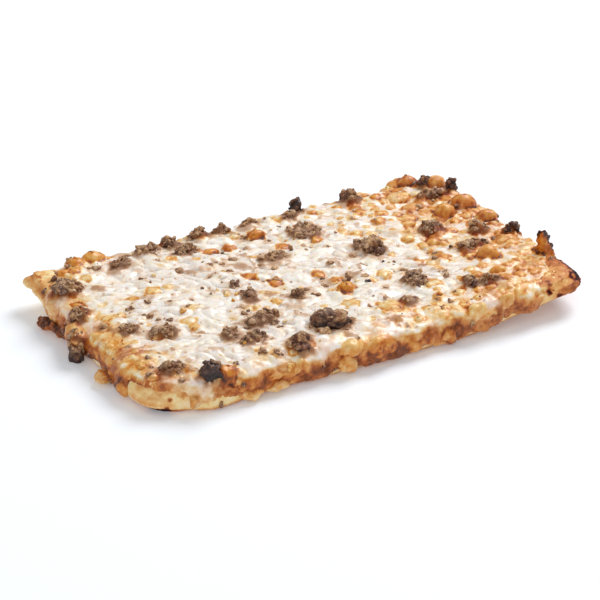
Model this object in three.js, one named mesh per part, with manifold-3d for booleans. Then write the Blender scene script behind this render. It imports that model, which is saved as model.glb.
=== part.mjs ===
// Barbecue focaccia: a flat slab of baked dough, a sheet of melted and browned cheese over its top and down
// its sides, and crumbs of cooked minced meat that lie on the cheese. Two of its corners curl up as they baked.
// Millimetres. X runs along the slab, Y from its front to its back and Z up. It lies on the plane Z = 0.

import * as THREE from "three";
import { mergeVertices } from "three/addons/utils/BufferGeometryUtils.js";
import Module from "manifold-3d";

const wasm = await Module();
wasm.setup();

// Driving dimensions
const slabLength = 211;
const slabWidth = 123;
const slabHeight = 12.6;
const cheeseThickness = 2.8;
const cheeseOnSides = 2;
const rimReach = 7;
const rimDrop = 3.4;
const clearance = 0.3;

const halfLength = slabLength / 2;
const halfWidth = slabWidth / 2;

// How much each corner of the plan is drawn in, measured along one side
const cornerPull = { frontLeft: 7, frontRight: 4, backLeft: 1.2, backRight: 5 };

// Where the underside has curled up off the table: the corner, how far in it starts and how high it goes
const curls = [
  { x: -halfLength, y: halfWidth, reach: 42, under: 9, over: 4 },
  { x: halfLength, y: -halfWidth, reach: 70, under: 8, over: 4.6 },
];

// Where dough shows bare: the height above the underside that the cheese stops at, over a round patch, and how
// far the dough swells out there
const barePanels = [
  { x: -105, y: -54, reach: 25, height: 13, plump: 1.8 },
  { x: -108, y: 60, reach: 26, height: 12, plump: 1.8 },
  { x: 106, y: -62, reach: 34, height: 13, plump: 1.8 },
];

// A low foot of dough that spreads out from under the cheese
const foot = { x: -77, y: -66, reach: 17, height: 4.2, out: 4 };
const bareSides = [...barePanels, foot];

// How sharply the cheese's lower edge climbs where it meets such a patch
const panelEdge = { steep: 2.4, start: 0.15 };

// Where the cheese doesn't reach at all, top or side
const bareCorners = [
  { x: -109, y: 60, reach: 28 },
  { x: 109, y: -61, reach: 42 },
];

const clamp = (t) => Math.min(1, Math.max(0, t));
const smooth = (t) => clamp(t) ** 2 * (3 - 2 * clamp(t));
const mix = (a, b, t) => a + (b - a) * t;
const nearness = (spot, x, y) => smooth(1 - Math.hypot(x - spot.x, y - spot.y) / spot.reach);

// Slow unevenness along an edge, between about -1 and 1
const wander = (s) => 0.5 * Math.sin(s / 11 + 1.3) + 0.3 * Math.sin(s / 6.1) + 0.3 * Math.sin(s / 23 + 2);

// Swelling of a baked surface, between about -1 and 1
function swell(x, y) {
  const long = Math.sin(x / 13 + 0.8 * Math.sin(y / 17)) * Math.cos(y / 11 + 0.6);
  const short = Math.sin(x / 6.5 + y / 9 + 2) * Math.sin(y / 6 - x / 15);
  return 0.6 * long + 0.4 * short;
}

// Baked shape of the dough
function underside(x, y) {
  return Math.max(...curls.map((curl) => curl.under * nearness(curl, x, y)));
}

function doughTop(x, y) {
  const raised = Math.max(...curls.map((curl) => curl.over * nearness(curl, x, y)));
  return slabHeight + raised + 0.5 * swell(x + 20, y - 8);
}

// Melted cheese: 1 where it lies at full thickness, below 0 where it has run out
function cover(x, y) {
  return 1 - 1.7 * Math.max(...bareCorners.map((corner) => nearness(corner, x, y)));
}

function cheeseTop(x, y) {
  return doughTop(x, y) + cheeseThickness * cover(x, y) + 0.8 * swell(x, y);
}

// Height above the underside of the wavy edge that the melted cheese ran down to
function dripLine(x, y) {
  const wavy = 2.4 + 0.9 * Math.sin(x / 6.3 + y / 8) + 0.6 * Math.sin(x / 3.4 - y / 4.7);
  const climbed = (side) => smooth(panelEdge.steep * nearness(side, x, y) - panelEdge.start);
  return Math.max(wavy, ...bareSides.map((side) => side.height * climbed(side)));
}

// A point of the plan, from a square of -1 to 1: a rectangle with rounded corners and a wandering edge
function planPoint(u, v, grow) {
  const across = v < 0 ? "front" : "back";
  const pull = cornerPull[across + (u < 0 ? "Left" : "Right")];
  const reachX = halfLength + grow;
  const reachY = halfWidth + grow;
  const a = Math.abs(u);
  const b = Math.abs(v);
  const x = Math.sign(u) * (reachX * a - pull * a ** 2 * b ** (reachY / pull - 2));
  const y = Math.sign(v) * (reachY * b - pull * b ** 2 * a ** (reachX / pull - 2));
  const rim = Math.max(a, b) ** 6;
  return { x: x + u * a ** 5 * wander(y + 50), y: y + v * b ** 5 * wander(x), rim };
}

// 0 well inside the slab, rising to 1 at its rim as a quarter circle does
function rimCurve(u, v, reach) {
  const inset = Math.min((1 - Math.abs(u)) * halfLength, (1 - Math.abs(v)) * halfWidth);
  const t = clamp(1 - inset / reach);
  return 1 - Math.sqrt(1 - t * t);
}

// A box of small cells bent into a slab. crowding draws its lines out towards the rim.
function bentSlab(cells, crowding, place) {
  const box = new THREE.BoxGeometry(2, 2, 2, cells.long, cells.across, cells.high);
  box.deleteAttribute("normal");
  box.deleteAttribute("uv");
  const geometry = mergeVertices(box);
  const position = geometry.getAttribute("position");
  const crowd = (t) => Math.sin(crowding * t) / Math.sin(crowding);
  for (let i = 0; i < position.count; i++) {
    const p = place(crowd(position.getX(i)), crowd(position.getY(i)), position.getZ(i));
    position.setXYZ(i, p.x, p.y, p.z);
  }
  return solidFrom(geometry);
}

function solidFrom(geometry) {
  geometry.deleteAttribute("normal");
  geometry.deleteAttribute("uv");
  const merged = mergeVertices(geometry, 1e-4);
  const vertProperties = new Float32Array(merged.getAttribute("position").array);
  const triVerts = new Uint32Array(merged.index.array);
  return new wasm.Manifold(new wasm.Mesh({ numProp: 3, vertProperties, triVerts }));
}

// The biggest piece of a cut solid: loose scraps are dropped
function biggest(solid) {
  const pieces = solid.decompose();
  return pieces.reduce((best, piece) => (piece.volume() > best.volume() ? piece : best));
}

function meshFrom(solid, name, material) {
  const mesh = solid.getMesh();
  const geometry = new THREE.BufferGeometry();
  geometry.setAttribute("position", new THREE.BufferAttribute(mesh.vertProperties, 3));
  geometry.setIndex(new THREE.BufferAttribute(mesh.triVerts, 1));
  geometry.computeVertexNormals();
  const made = new THREE.Mesh(geometry, material);
  made.name = name;
  return made;
}

// The dough slab, its sides bulging a little and its lower edge rounded where it left the tray
function doughSlab(grow) {
  const sideBulge = 1.1;
  const lowEdge = { reach: 4, rise: 1.2 };
  const topEdge = { reach: 6, drop: 2 };
  const cells = { long: 24, across: 13, high: 3 };
  const crowding = 1.2;
  return bentSlab(cells, crowding, (u, v, level) => {
    const flat = planPoint(u, v, grow);
    const plump = Math.max(...barePanels.map((panel) => panel.plump * nearness(panel, flat.x, flat.y)));
    const rim = Math.max(Math.abs(u), Math.abs(v)) > 0.999 ? 1 : 0;
    const spread = foot.out * nearness(foot, flat.x, flat.y) * ((1 - level) / 2) ** 2;
    const out = grow + rim * ((sideBulge + plump) * (1 - level * level) + spread);
    const plan = planPoint(u, v, out);
    const low = underside(plan.x, plan.y) + lowEdge.rise * rimCurve(u, v, lowEdge.reach) - grow;
    const high = doughTop(plan.x, plan.y) - topEdge.drop * rimCurve(u, v, topEdge.reach) + grow;
    return { x: plan.x, y: plan.y, z: mix(low, high, (level + 1) / 2) };
  });
}

// The cheese before the dough is taken out of it: its outer skin, closed inside the dough
function cheeseSkin(grow) {
  const cells = { long: 28, across: 17, high: 4 };
  const crowding = 1;
  const shallowest = 1.2;
  const inwards = 12;
  return bentSlab(cells, crowding, (u, v, level) => {
    const flat = planPoint(u, v, 0);
    const covered = cover(flat.x, flat.y);
    const lobed = 0.6 * Math.sin(flat.x / 4.3 + flat.y / 5.9 + level) + 0.7 * (1 - level * level);
    const plan = planPoint(u, v, grow + cheeseOnSides * covered + lobed * flat.rim);
    const high = cheeseTop(plan.x, plan.y) - rimDrop * rimCurve(u, v, rimReach) + grow;
    const edge = underside(plan.x, plan.y) + dripLine(plan.x, plan.y) - grow;
    const inside = smooth((1 - Math.max(Math.abs(u), Math.abs(v))) * inwards);
    const core = mix(underside(plan.x, plan.y), doughTop(plan.x, plan.y), 0.5);
    const low = Math.min(mix(edge, core, inside), high - shallowest);
    return { x: plan.x, y: plan.y, z: mix(low, high, (level + 1) / 2) };
  });
}

// Height of the cheese's surface, with the fall towards the rim, for what lies on it
function surfaceHeight(x, y) {
  const outside = 0.75 * cheeseOnSides;
  const inset = Math.min(halfLength - Math.abs(x), halfWidth - Math.abs(y)) + outside;
  const t = clamp(1 - inset / rimReach);
  return cheeseTop(x, y) - rimDrop * (1 - Math.sqrt(1 - t * t));
}

// A round or oval lump with its middle at a point, from a faceted ball
function lump(at, size, detail) {
  const ball = new THREE.IcosahedronGeometry(1, detail);
  ball.scale(size.long / 2, size.deep / 2, size.tall / 2);
  ball.rotateZ(THREE.MathUtils.degToRad(size.turn ?? 0));
  ball.translate(at.x, at.y, at.z);
  return solidFrom(ball);
}

// Browned bubbles that stand out of the cheese: each row is its x, its y and its width
const bubbles = [
  [-22, 11, 7], [-15, 1, 7], [0, 45, 8], [-26, 41, 7], [-16, 41, 6], [5, 30, 6], [22, 28, 6], [5, -3, 6],
  [9, -20, 9], [-75, 59, 10], [-73, -59, 8], [-65, 20, 7], [17, -44, 13], [45, -35, 8], [86, 23, 11],
  [101, 30, 10], [98, -11, 9], [79, -25, 11], [102, 14, 8], [98, 50, 9.5], [88, 59, 10.5], [4, -33, 8],
  [-84, 58, 8], [-92, 53, 6],
];

// The wider bubbles have blown up higher than the others, and the widest have more facets
const bubbleForm = { wide: 7.5, widest: 8.5, tallWide: 0.78, tall: 0.62, deep: 0.92, sunk: 0.1 };

// Small bubbles crowd the browned right third of the slab: one in each cell of a grid, if clear of the others
const browned = {
  left: 52, front: -50, columns: 7, rows: 5, columnWidth: 7.6, rowWidth: 21,
  smallest: 4.5, spread: 2.5, apart: 8,
};

// The same seed always gives the same ones
function smallBubbles() {
  const found = [];
  let seed = 20;
  const random = () => {
    seed = (Math.imul(seed, 1664525) + 1013904223) >>> 0;
    return seed / 4294967296;
  };
  for (let column = 0; column < browned.columns; column++) {
    for (let row = 0; row < browned.rows; row++) {
      const x = browned.left + browned.columnWidth * (column + 0.8 * random());
      const y = browned.front + browned.rowWidth * (row + 0.8 * random());
      const width = browned.smallest + browned.spread * random();
      const free = bubbles.every((bubble) => Math.hypot(bubble[0] - x, bubble[1] - y) > browned.apart);
      if (free) found.push([x, y, width]);
    }
  }
  return found;
}

// Folds, drips and lobes of the cheese along the foot of the slab: middle, and size each way
const sideLobes = [
  { x: -90, y: -63.5, z: 6.5, long: 3.6, deep: 4.5, tall: 10 },
  { x: -62, y: -64.5, z: 3.4, long: 11, deep: 6, tall: 4.6 },
  { x: -49, y: -63.5, z: 3.2, long: 12, deep: 6, tall: 4.2 },
  { x: -16, y: -64.5, z: 5.6, long: 9, deep: 6, tall: 9 },
  { x: -13, y: -62.5, z: 11.5, long: 13, deep: 7, tall: 7 },
  { x: 1, y: -63, z: 9, long: 16, deep: 8, tall: 9 },
  { x: 18, y: -62.5, z: 6, long: 12, deep: 6, tall: 8 },
  { x: 36, y: -62.5, z: 5, long: 9, deep: 5, tall: 6 },
  { x: 62, y: -61.5, z: 7, long: 4, deep: 4.5, tall: 9 },
  { x: 74, y: -59.5, z: 13, long: 13, deep: 8, tall: 9 },
  { x: -109, y: 8, z: 10, long: 6, deep: 15, tall: 9 },
  { x: -110.5, y: -20, z: 3, long: 8, deep: 9, tall: 4.4 },
  { x: -108, y: -36, z: 5, long: 6, deep: 8, tall: 8 },
  { x: 84, y: 63, z: 14.5, long: 13, deep: 8, tall: 6 },
];

// A strip of dark, baked-on cheese that curls out from under the left end
const fringe = { x: -108.5, front: 15, back: 38, lowest: 3.6, rise: 4.5, knobs: 5 };

function fringeLumps() {
  return Array.from({ length: fringe.knobs }, (unused, i) => {
    const along = i / (fringe.knobs - 1);
    const at = {
      x: fringe.x + 1.2 * Math.sin(5 * along),
      y: mix(fringe.front, fringe.back, along),
      z: fringe.lowest + fringe.rise * (1 - along) ** 2 + 0.5 * Math.cos(9 * along),
    };
    return lump(at, { long: 5.6 + 0.8 * Math.cos(7 * i), deep: 10, tall: 5.4 }, 1);
  });
}

// Thin flake of crisp cheese that stands up at the right end, its foot reaching down into the cheese
const flake = {
  x: 105.5, y: -35, z: 11, width: 8, height: 17, thickness: 2,
  taper: 0.45, thinning: 0.3, lean: 4.5, cup: 3, wave: 1.2,
};

function crispFlake() {
  const plate = new THREE.BoxGeometry(flake.width, flake.thickness, flake.height, 4, 1, 6);
  const position = plate.getAttribute("position");
  for (let i = 0; i < position.count; i++) {
    const up = position.getZ(i) / flake.height + 0.5;
    const across = position.getX(i) / flake.width;
    const x = position.getX(i) * (1 - flake.taper * up * up) - flake.lean * up;
    const thin = position.getY(i) * (1 - flake.thinning * up);
    const y = thin + flake.cup * across * across + flake.wave * Math.sin(3 * up);
    position.setXYZ(i, x, y, up * flake.height);
  }
  plate.translate(flake.x, flake.y, flake.z);
  return solidFrom(plate);
}

function bubbleLump([x, y, width], grow) {
  const size = width + 2 * grow;
  const at = { x, y, z: surfaceHeight(x, y) - bubbleForm.sunk * width };
  const tall = size * (width > bubbleForm.wide ? bubbleForm.tallWide : bubbleForm.tall);
  return lump(at, { long: size, deep: size * bubbleForm.deep, tall }, width > bubbleForm.widest ? 1 : 0);
}

function lobeLump(lobe, grow) {
  const size = { long: lobe.long + grow, deep: lobe.deep + grow, tall: lobe.tall + grow };
  return lump(lobe, size, 1);
}

// The whole outside of the cheese. What lies on it is cut to it with grow as the gap.
function cheeseOutside(grow) {
  const raised = [...bubbles, ...smallBubbles()].map((bubble) => bubbleLump(bubble, grow));
  const lobes = sideLobes.map((lobe) => lobeLump(lobe, 2 * grow));
  const added = [...raised, ...lobes, ...fringeLumps()];
  return added.reduce((whole, piece) => whole.add(piece), cheeseSkin(grow));
}

// Crumbs of minced meat: place, size along the slab, across it and upwards, and turn in degrees
const crumbs = [
  { x: -13, y: -47, long: 18, deep: 13, tall: 10, turn: 8 },
  { x: -34, y: -55, long: 10, deep: 9, tall: 8, turn: 40 },
  { x: -49, y: -43, long: 11, deep: 7, tall: 6, turn: 15 },
  { x: -55, y: -33, long: 7, deep: 6, tall: 6, turn: 60 },
  { x: -39, y: -30, long: 14, deep: 8, tall: 6, turn: -10 },
  { x: -79, y: -60, long: 10, deep: 8, tall: 10, turn: 20 },
  { x: -91, y: -48, long: 11, deep: 8, tall: 6, turn: 5 },
  { x: -98, y: 36, long: 13, deep: 9, tall: 7, turn: -25 },
  { x: -103, y: 16, long: 9, deep: 7, tall: 4, turn: 30 },
  { x: -66, y: 48, long: 8, deep: 6, tall: 6, turn: 10 },
  { x: -51, y: 54, long: 11, deep: 7, tall: 7, turn: -15 },
  { x: -37, y: 57, long: 8, deep: 6, tall: 6, turn: 25 },
  { x: -35, y: 45, long: 11, deep: 7, tall: 5, turn: -5 },
  { x: -22, y: 58, long: 9, deep: 6, tall: 6, turn: 35 },
  { x: -11, y: 57, long: 8, deep: 4.5, tall: 5, turn: 0 },
  { x: 3, y: 57, long: 8, deep: 5, tall: 4, turn: 12 },
  { x: 29, y: 60, long: 6, deep: 5, tall: 10, turn: 0 },
  { x: 22, y: 54, long: 7, deep: 5, tall: 4, turn: 20 },
  { x: 20, y: 37, long: 14, deep: 9, tall: 5, turn: 30 },
  { x: 56, y: 56, long: 11, deep: 8, tall: 8, turn: -8 },
  { x: 38, y: 9, long: 12, deep: 11, tall: 9, turn: 45 },
  { x: -4, y: 21, long: 11, deep: 6, tall: 4, turn: 5 },
  { x: -13, y: -16, long: 6.5, deep: 6, tall: 6, turn: 0 },
  { x: -31, y: -6, long: 8, deep: 6, tall: 5, turn: 70 },
  { x: -79, y: -18, long: 10, deep: 8, tall: 5, turn: -20 },
  { x: -90, y: -9, long: 7, deep: 6, tall: 4, turn: 15 },
  { x: 71, y: 11, long: 10, deep: 8, tall: 6, turn: 20 },
  { x: 90, y: -1, long: 7.5, deep: 7, tall: 7, turn: 0 },
  { x: 79, y: -12, long: 14, deep: 7, tall: 4, turn: -12 },
  { x: 39, y: -29, long: 10, deep: 9, tall: 7, turn: 65 },
  { x: 58, y: -43, long: 7, deep: 5.5, tall: 5, turn: 80 },
  { x: 66, y: -48, long: 8, deep: 5, tall: 4, turn: -30 },
  { x: 27, y: -44, long: 8, deep: 6, tall: 4, turn: 60 },
  { x: 91, y: 42, long: 13, deep: 7, tall: 5, turn: -5 },
  { x: 93, y: 52, long: 5, deep: 4.5, tall: 8, turn: 0 },
  { x: 102, y: 43, long: 5, deep: 4.5, tall: 11, turn: 15 },
  { x: 102, y: -9, long: 6.5, deep: 5, tall: 7, turn: 0 },
];

// A crumb stuck to the slab's left side, with the height of its middle
const sideCrumb = { x: -110, y: 3, z: 6.5, long: 7, deep: 10, tall: 10, turn: 0 };

// Crumbs of more than this plan area, in square millimetres, have more facets
const largeCrumb = 115;

// Craggy radius of a crumb in one direction
function crag(p, seed) {
  const broad = Math.sin(2.6 * p.x + 1.7 * p.y + seed) * Math.cos(2.2 * p.z - 1.3 * seed);
  const knobs = Math.sin(4.7 * p.y - 3.9 * p.z + 2.1 * seed) * Math.cos(4.1 * p.x + seed);
  return 1 + 0.2 * broad + 0.17 * knobs;
}

function crumbLump(crumb, seed, grow) {
  const detail = crumb.long * crumb.deep > largeCrumb ? 2 : 1;
  const ball = new THREE.IcosahedronGeometry(1, detail);
  const position = ball.getAttribute("position");
  const point = new THREE.Vector3();
  for (let i = 0; i < position.count; i++) {
    point.fromBufferAttribute(position, i);
    point.multiplyScalar(crag(point, seed));
    position.setXYZ(i, point.x, point.y, point.z);
  }
  ball.scale(crumb.long / 2 + grow, crumb.deep / 2 + grow, crumb.tall / 2 + grow);
  ball.rotateZ(THREE.MathUtils.degToRad(crumb.turn));
  const sunk = surfaceHeight(crumb.x, crumb.y) + 0.12 * crumb.tall;
  ball.translate(crumb.x, crumb.y, crumb.z ?? sunk);
  return solidFrom(ball);
}

// Each crumb is cut clear of the cheese and of the crumbs already laid within reach of it
function meatCrumbs(seat) {
  const reach = 20;
  const laid = [];
  return [...crumbs, sideCrumb].map((crumb, i) => {
    const whole = crumbLump(crumb, i + 1, 0);
    const near = laid.filter((other) => Math.hypot(other.x - crumb.x, other.y - crumb.y) < reach);
    const free = near.reduce((rest, other) => rest.subtract(other.solid), whole.subtract(seat));
    laid.push({ x: crumb.x, y: crumb.y, solid: crumbLump(crumb, i + 1, clearance) });
    return biggest(free);
  });
}

const doughColour = new THREE.Color("#d1a870");
const cheeseColour = new THREE.Color("#e6cfb4");
const crispColour = new THREE.Color("#d79b3f");
const meatColour = new THREE.Color("#7a5c47");
const charredColour = new THREE.Color("#46302a");
const charredCrumbs = [6, 17, 35, 36, 37];

function crumbMaterial(number) {
  const colour = charredCrumbs.includes(number) ? charredColour : meatColour;
  return new THREE.MeshStandardMaterial({ color: colour, roughness: 0.6, metalness: 0 });
}

function focaccia() {
  const dough = doughSlab(0);
  const outside = cheeseOutside(0);
  const cheese = biggest(outside.subtract(doughSlab(clearance)));
  const seat = cheeseOutside(clearance).add(doughSlab(clearance));

  const whole = new THREE.Group();
  const doughMaterial = new THREE.MeshStandardMaterial({ color: doughColour, roughness: 0.75, metalness: 0 });
  const cheeseMaterial = new THREE.MeshStandardMaterial({ color: cheeseColour, roughness: 0.4, metalness: 0 });
  const crispMaterial = new THREE.MeshStandardMaterial({ color: crispColour, roughness: 0.5, metalness: 0 });
  whole.add(meshFrom(dough, "bread_base", doughMaterial));
  whole.add(meshFrom(cheese, "cheese_layer", cheeseMaterial));
  whole.add(meshFrom(biggest(crispFlake().subtract(seat)), "cheese_crisp", crispMaterial));
  meatCrumbs(seat).forEach((crumb, i) => {
    const name = "meat_crumb_" + String(i + 1).padStart(2, "0");
    whole.add(meshFrom(crumb, name, crumbMaterial(i + 1)));
  });
  return whole;
}

// The finished object stands with the middle of its box over the origin
function centred(object) {
  const box = new THREE.Box3().setFromObject(object);
  const middle = box.getCenter(new THREE.Vector3());
  object.position.set(-middle.x, -middle.y, -box.min.z);
  const holder = new THREE.Group();
  holder.add(object);
  return holder;
}

export default centred(focaccia());
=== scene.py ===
# Barbecue focaccia: the finish of its baked dough, its melted cheese and its crumbs of minced meat.
# Shapes are worked out in millimetres in the part's own frame, and toMetres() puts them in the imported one.

import math

import bmesh
import bpy
import numpy as np
from mathutils import Matrix, Vector, noise
from mathutils.bvhtree import BVHTree


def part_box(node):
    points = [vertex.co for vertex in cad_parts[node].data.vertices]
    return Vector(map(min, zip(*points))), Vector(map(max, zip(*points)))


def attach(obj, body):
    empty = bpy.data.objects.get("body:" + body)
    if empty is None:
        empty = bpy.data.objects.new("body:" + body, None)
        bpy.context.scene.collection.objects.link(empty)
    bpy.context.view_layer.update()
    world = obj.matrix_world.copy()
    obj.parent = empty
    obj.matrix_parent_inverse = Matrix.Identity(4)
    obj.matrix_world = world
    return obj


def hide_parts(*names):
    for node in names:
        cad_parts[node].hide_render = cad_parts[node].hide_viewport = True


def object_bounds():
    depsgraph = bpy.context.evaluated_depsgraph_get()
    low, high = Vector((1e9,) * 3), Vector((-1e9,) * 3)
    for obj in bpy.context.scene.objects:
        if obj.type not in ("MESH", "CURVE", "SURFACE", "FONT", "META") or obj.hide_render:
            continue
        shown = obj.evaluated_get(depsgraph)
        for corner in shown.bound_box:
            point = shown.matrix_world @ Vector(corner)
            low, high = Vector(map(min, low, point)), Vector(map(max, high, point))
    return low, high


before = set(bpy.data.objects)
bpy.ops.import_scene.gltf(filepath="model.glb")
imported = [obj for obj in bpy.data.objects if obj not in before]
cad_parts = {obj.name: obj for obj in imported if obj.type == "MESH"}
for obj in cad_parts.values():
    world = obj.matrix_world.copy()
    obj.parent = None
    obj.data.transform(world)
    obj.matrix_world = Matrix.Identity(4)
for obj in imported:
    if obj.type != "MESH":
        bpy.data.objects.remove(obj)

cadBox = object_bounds()
boxInset = np.array([0.00005, 0.00005, 0])  # metres that pieces stay inside that box at its sides

# The baked slab, as the solids have it
slab = {
    "length": 211.0,
    "width": 123.0,
    "height": 12.6,
    "pulls": {"frontLeft": 7.0, "frontRight": 4.0, "backLeft": 1.2, "backRight": 5.0},
    "curls": [
        {"x": -105.5, "y": 61.5, "reach": 42, "under": 9, "over": 4},
        {"x": 105.5, "y": -61.5, "reach": 70, "under": 8, "over": 4.6},
    ],
    "barePanels": [
        {"x": -105, "y": -54, "reach": 25, "height": 13},
        {"x": -108, "y": 60, "reach": 26, "height": 12},
        {"x": 106, "y": -62, "reach": 34, "height": 13},
    ],
    "bareCorners": [
        {"x": -109, "y": 60, "reach": 28},
        {"x": 109, "y": -61, "reach": 42},
    ],
    "foot": {"x": -77, "y": -66, "reach": 17, "height": 4.2, "out": 4},
}
halfLength = slab["length"] / 2
halfWidth = slab["width"] / 2


def smoothStep(t):
    t = np.clip(t, 0, 1)
    return t * t * (3 - 2 * t)


def mix(a, b, t):
    return a + (b - a) * t


def turned(x, y, angle):
    c, s = math.cos(angle), math.sin(angle)
    return x * c + y * s, y * c - x * s


def nearness(spot, x, y):
    # 1 at a spot, falling to 0 at its reach
    return smoothStep(1 - np.hypot(x - spot["x"], y - spot["y"]) / spot["reach"])


def nearAny(spots, x, y):
    return np.max([nearness(spot, x, y) for spot in spots], axis=0)


def wander(s):
    return 0.5 * np.sin(s / 11 + 1.3) + 0.3 * np.sin(s / 6.1) + 0.3 * np.sin(s / 23 + 2)


def swell(x, y):
    long = np.sin(x / 13 + 0.8 * np.sin(y / 17)) * np.cos(y / 11 + 0.6)
    short = np.sin(x / 6.5 + y / 9 + 2) * np.sin(y / 6 - x / 15)
    return 0.6 * long + 0.4 * short


def curled(x, y, way):
    # How far the curled corners lift the slab's underside, or its top over that
    return np.max([curl[way] * nearness(curl, x, y) for curl in slab["curls"]], axis=0)


def underside(x, y):
    return curled(x, y, "under")


def doughTop(x, y):
    return slab["height"] + curled(x, y, "over") + 0.5 * swell(x + 20, y - 8)


def planPoint(u, v, grow):
    # A point of a square of -1 to 1, put on the slab's plan with its pulled-in corners and wandering sides
    pulls = slab["pulls"]
    front = np.where(u < 0, pulls["frontLeft"], pulls["frontRight"])
    back = np.where(u < 0, pulls["backLeft"], pulls["backRight"])
    pull = np.where(v < 0, front, back)
    reachX = halfLength + grow
    reachY = halfWidth + grow
    a = np.abs(u)
    b = np.abs(v)
    x = np.sign(u) * (reachX * a - pull * a**2 * b ** (reachY / pull - 2))
    y = np.sign(v) * (reachY * b - pull * b**2 * a ** (reachX / pull - 2))
    return x + u * a**5 * wander(y + 50), y + v * b**5 * wander(x)


def roundedRim(inset, reach):
    # 1 at the rim and 0 from that reach inwards, in a quarter circle
    t = np.clip(1 - inset / reach, 0, 1)
    return 1 - np.sqrt(1 - t * t)


def rimCurve(u, v, reach):
    return roundedRim(np.minimum((1 - np.abs(u)) * halfLength, (1 - np.abs(v)) * halfWidth), reach)


def grain(points, size, octaves=2, seed=0.0):
    # Fractal noise whose lumps measure about that many millimetres, from about -1 to 1
    rows = (np.asarray(points) / size + seed).tolist()
    return np.array([noise.fractal(row, 1.0, 2.0, octaves) for row in rows])


def puffs(points, size, seed=0.0):
    # Rounded swellings about that many millimetres apart: 0 in the creases between them, about 1 on top
    return np.abs(grain(points, size, 1, seed)) * 2.2


def pebbles(points, size, seed=0.0):
    # Rounded grains of that size in millimetres, packed side by side: 1 on a grain, 0 in the gap beside it
    rows = (np.asarray(points) / size + seed).tolist()
    nearest = np.array([noise.voronoi(row)[0][:2] for row in rows])
    return np.clip((nearest[:, 1] - nearest[:, 0]) * 2.2, 0, 1)


def getRows(data, name, width=3):
    values = np.empty(len(data) * width, np.float32)
    data.foreach_get(name, values)
    return values.reshape(-1, width).astype(float)


def getPoints(mesh):
    return getRows(mesh.vertices, "co")


def getNormals(mesh):
    return getRows(mesh.vertices, "normal")


def getMask(mesh, name):
    return getRows(mesh.attributes[name].data, "value", 1)[:, 0]


def setMask(mesh, name, values):
    layer = mesh.attributes.get(name) or mesh.attributes.new(name, "FLOAT", "POINT")
    layer.data.foreach_set("value", np.asarray(values, np.float32))


def setPoints(mesh, points):
    mesh.vertices.foreach_set("co", np.asarray(points, np.float32).ravel())
    mesh.update()


def pushOut(mesh, points, relief, lowest=0.0):
    # Moves the points along the mesh's normals by so many millimetres, but not below that height
    points = points + getNormals(mesh) * relief[:, None]
    points[:, 2] = np.maximum(points[:, 2], lowest)
    setPoints(mesh, points)
    return points


def relax(mesh, rounds, factor=0.5):
    bm = bmesh.new()
    bm.from_mesh(mesh)
    everyAxis = {f"use_axis_{axis}": True for axis in "xyz"}
    for _ in range(rounds):
        bmesh.ops.smooth_vert(bm, verts=bm.verts, factor=factor, **everyAxis)
    bm.to_mesh(mesh)
    bm.free()
    mesh.update()


def hollows(mesh, rounds, depth):
    # How far each point lies in a hollow, about 1 at that depth in millimetres, and below 0 on a rise
    copy = mesh.copy()
    relax(copy, rounds)
    sunk = np.sum((getPoints(copy) - getPoints(mesh)) * getNormals(mesh), axis=1)
    bpy.data.meshes.remove(copy)
    return np.clip(sunk / depth, -1.5, 1.5)


def treeOf(*meshes):
    bm = bmesh.new()
    for mesh in meshes:
        bm.from_mesh(mesh)
    tree = BVHTree.FromBMesh(bm)
    bm.free()
    return tree


def meshFrom(bm, name):
    mesh = bpy.data.meshes.new(name)
    bm.to_mesh(mesh)
    bm.free()
    return mesh


def addObject(name, data):
    made = bpy.data.objects.new(name, data)
    bpy.context.scene.collection.objects.link(made)
    return made


def addPiece(mesh, material, nodes=()):
    # A finished piece: metres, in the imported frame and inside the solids' box, smooth, riding on the part
    low, high = (np.array(corner) for corner in cadBox)
    setPoints(mesh, np.clip(toMetres(getPoints(mesh)), low + boxInset, high - boxInset))
    mesh.shade_smooth()
    mesh.materials.append(material)
    piece = addObject(mesh.name, mesh)
    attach(piece, "root")
    if nodes:
        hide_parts(*nodes)
    print(f"{mesh.name}: {sum(len(face.vertices) - 2 for face in mesh.polygons)} triangles")
    return piece


# Materials
def linear(hexColour):
    parts = [int(hexColour[i : i + 2], 16) / 255 for i in (1, 3, 5)]
    return tuple(p / 12.92 if p <= 0.04045 else ((p + 0.055) / 1.055) ** 2.4 for p in parts) + (1.0,)


def setInputs(tree, node, inputs):
    # Inputs come by name, or as a row of values from the first one on
    for name, value in inputs.items() if isinstance(inputs, dict) else enumerate(inputs):
        if isinstance(value, bpy.types.NodeSocket):
            tree.links.new(value, node.inputs[name])
        else:
            node.inputs[name].default_value = value


def addNode(tree, kind, inputs, out=0, stops=(), **settings):
    # Adds a node and gives one of its outputs. A MapRange takes a value, its own range and the new one
    node = tree.nodes.new("ShaderNode" + kind)
    for name, value in settings.items():
        setattr(node, name, value)
    setInputs(tree, node, inputs)
    if stops:
        ramp = node.color_ramp.elements
        while len(ramp) < len(stops):
            ramp.new(0.5)
        for element, (position, hexColour) in zip(ramp, stops):
            element.position = position
            element.color = linear(hexColour)
    return node.outputs[out]


def newMaterial(name):
    material = bpy.data.materials.new(name)
    material.use_nodes = True
    return material, material.node_tree


def finished(material, inputs):
    setInputs(material.node_tree, material.node_tree.nodes["Principled BSDF"], inputs)
    return material


def readMasks(tree, *names):
    return [addNode(tree, "Attribute", {}, "Fac", attribute_name=name) for name in names]


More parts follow.
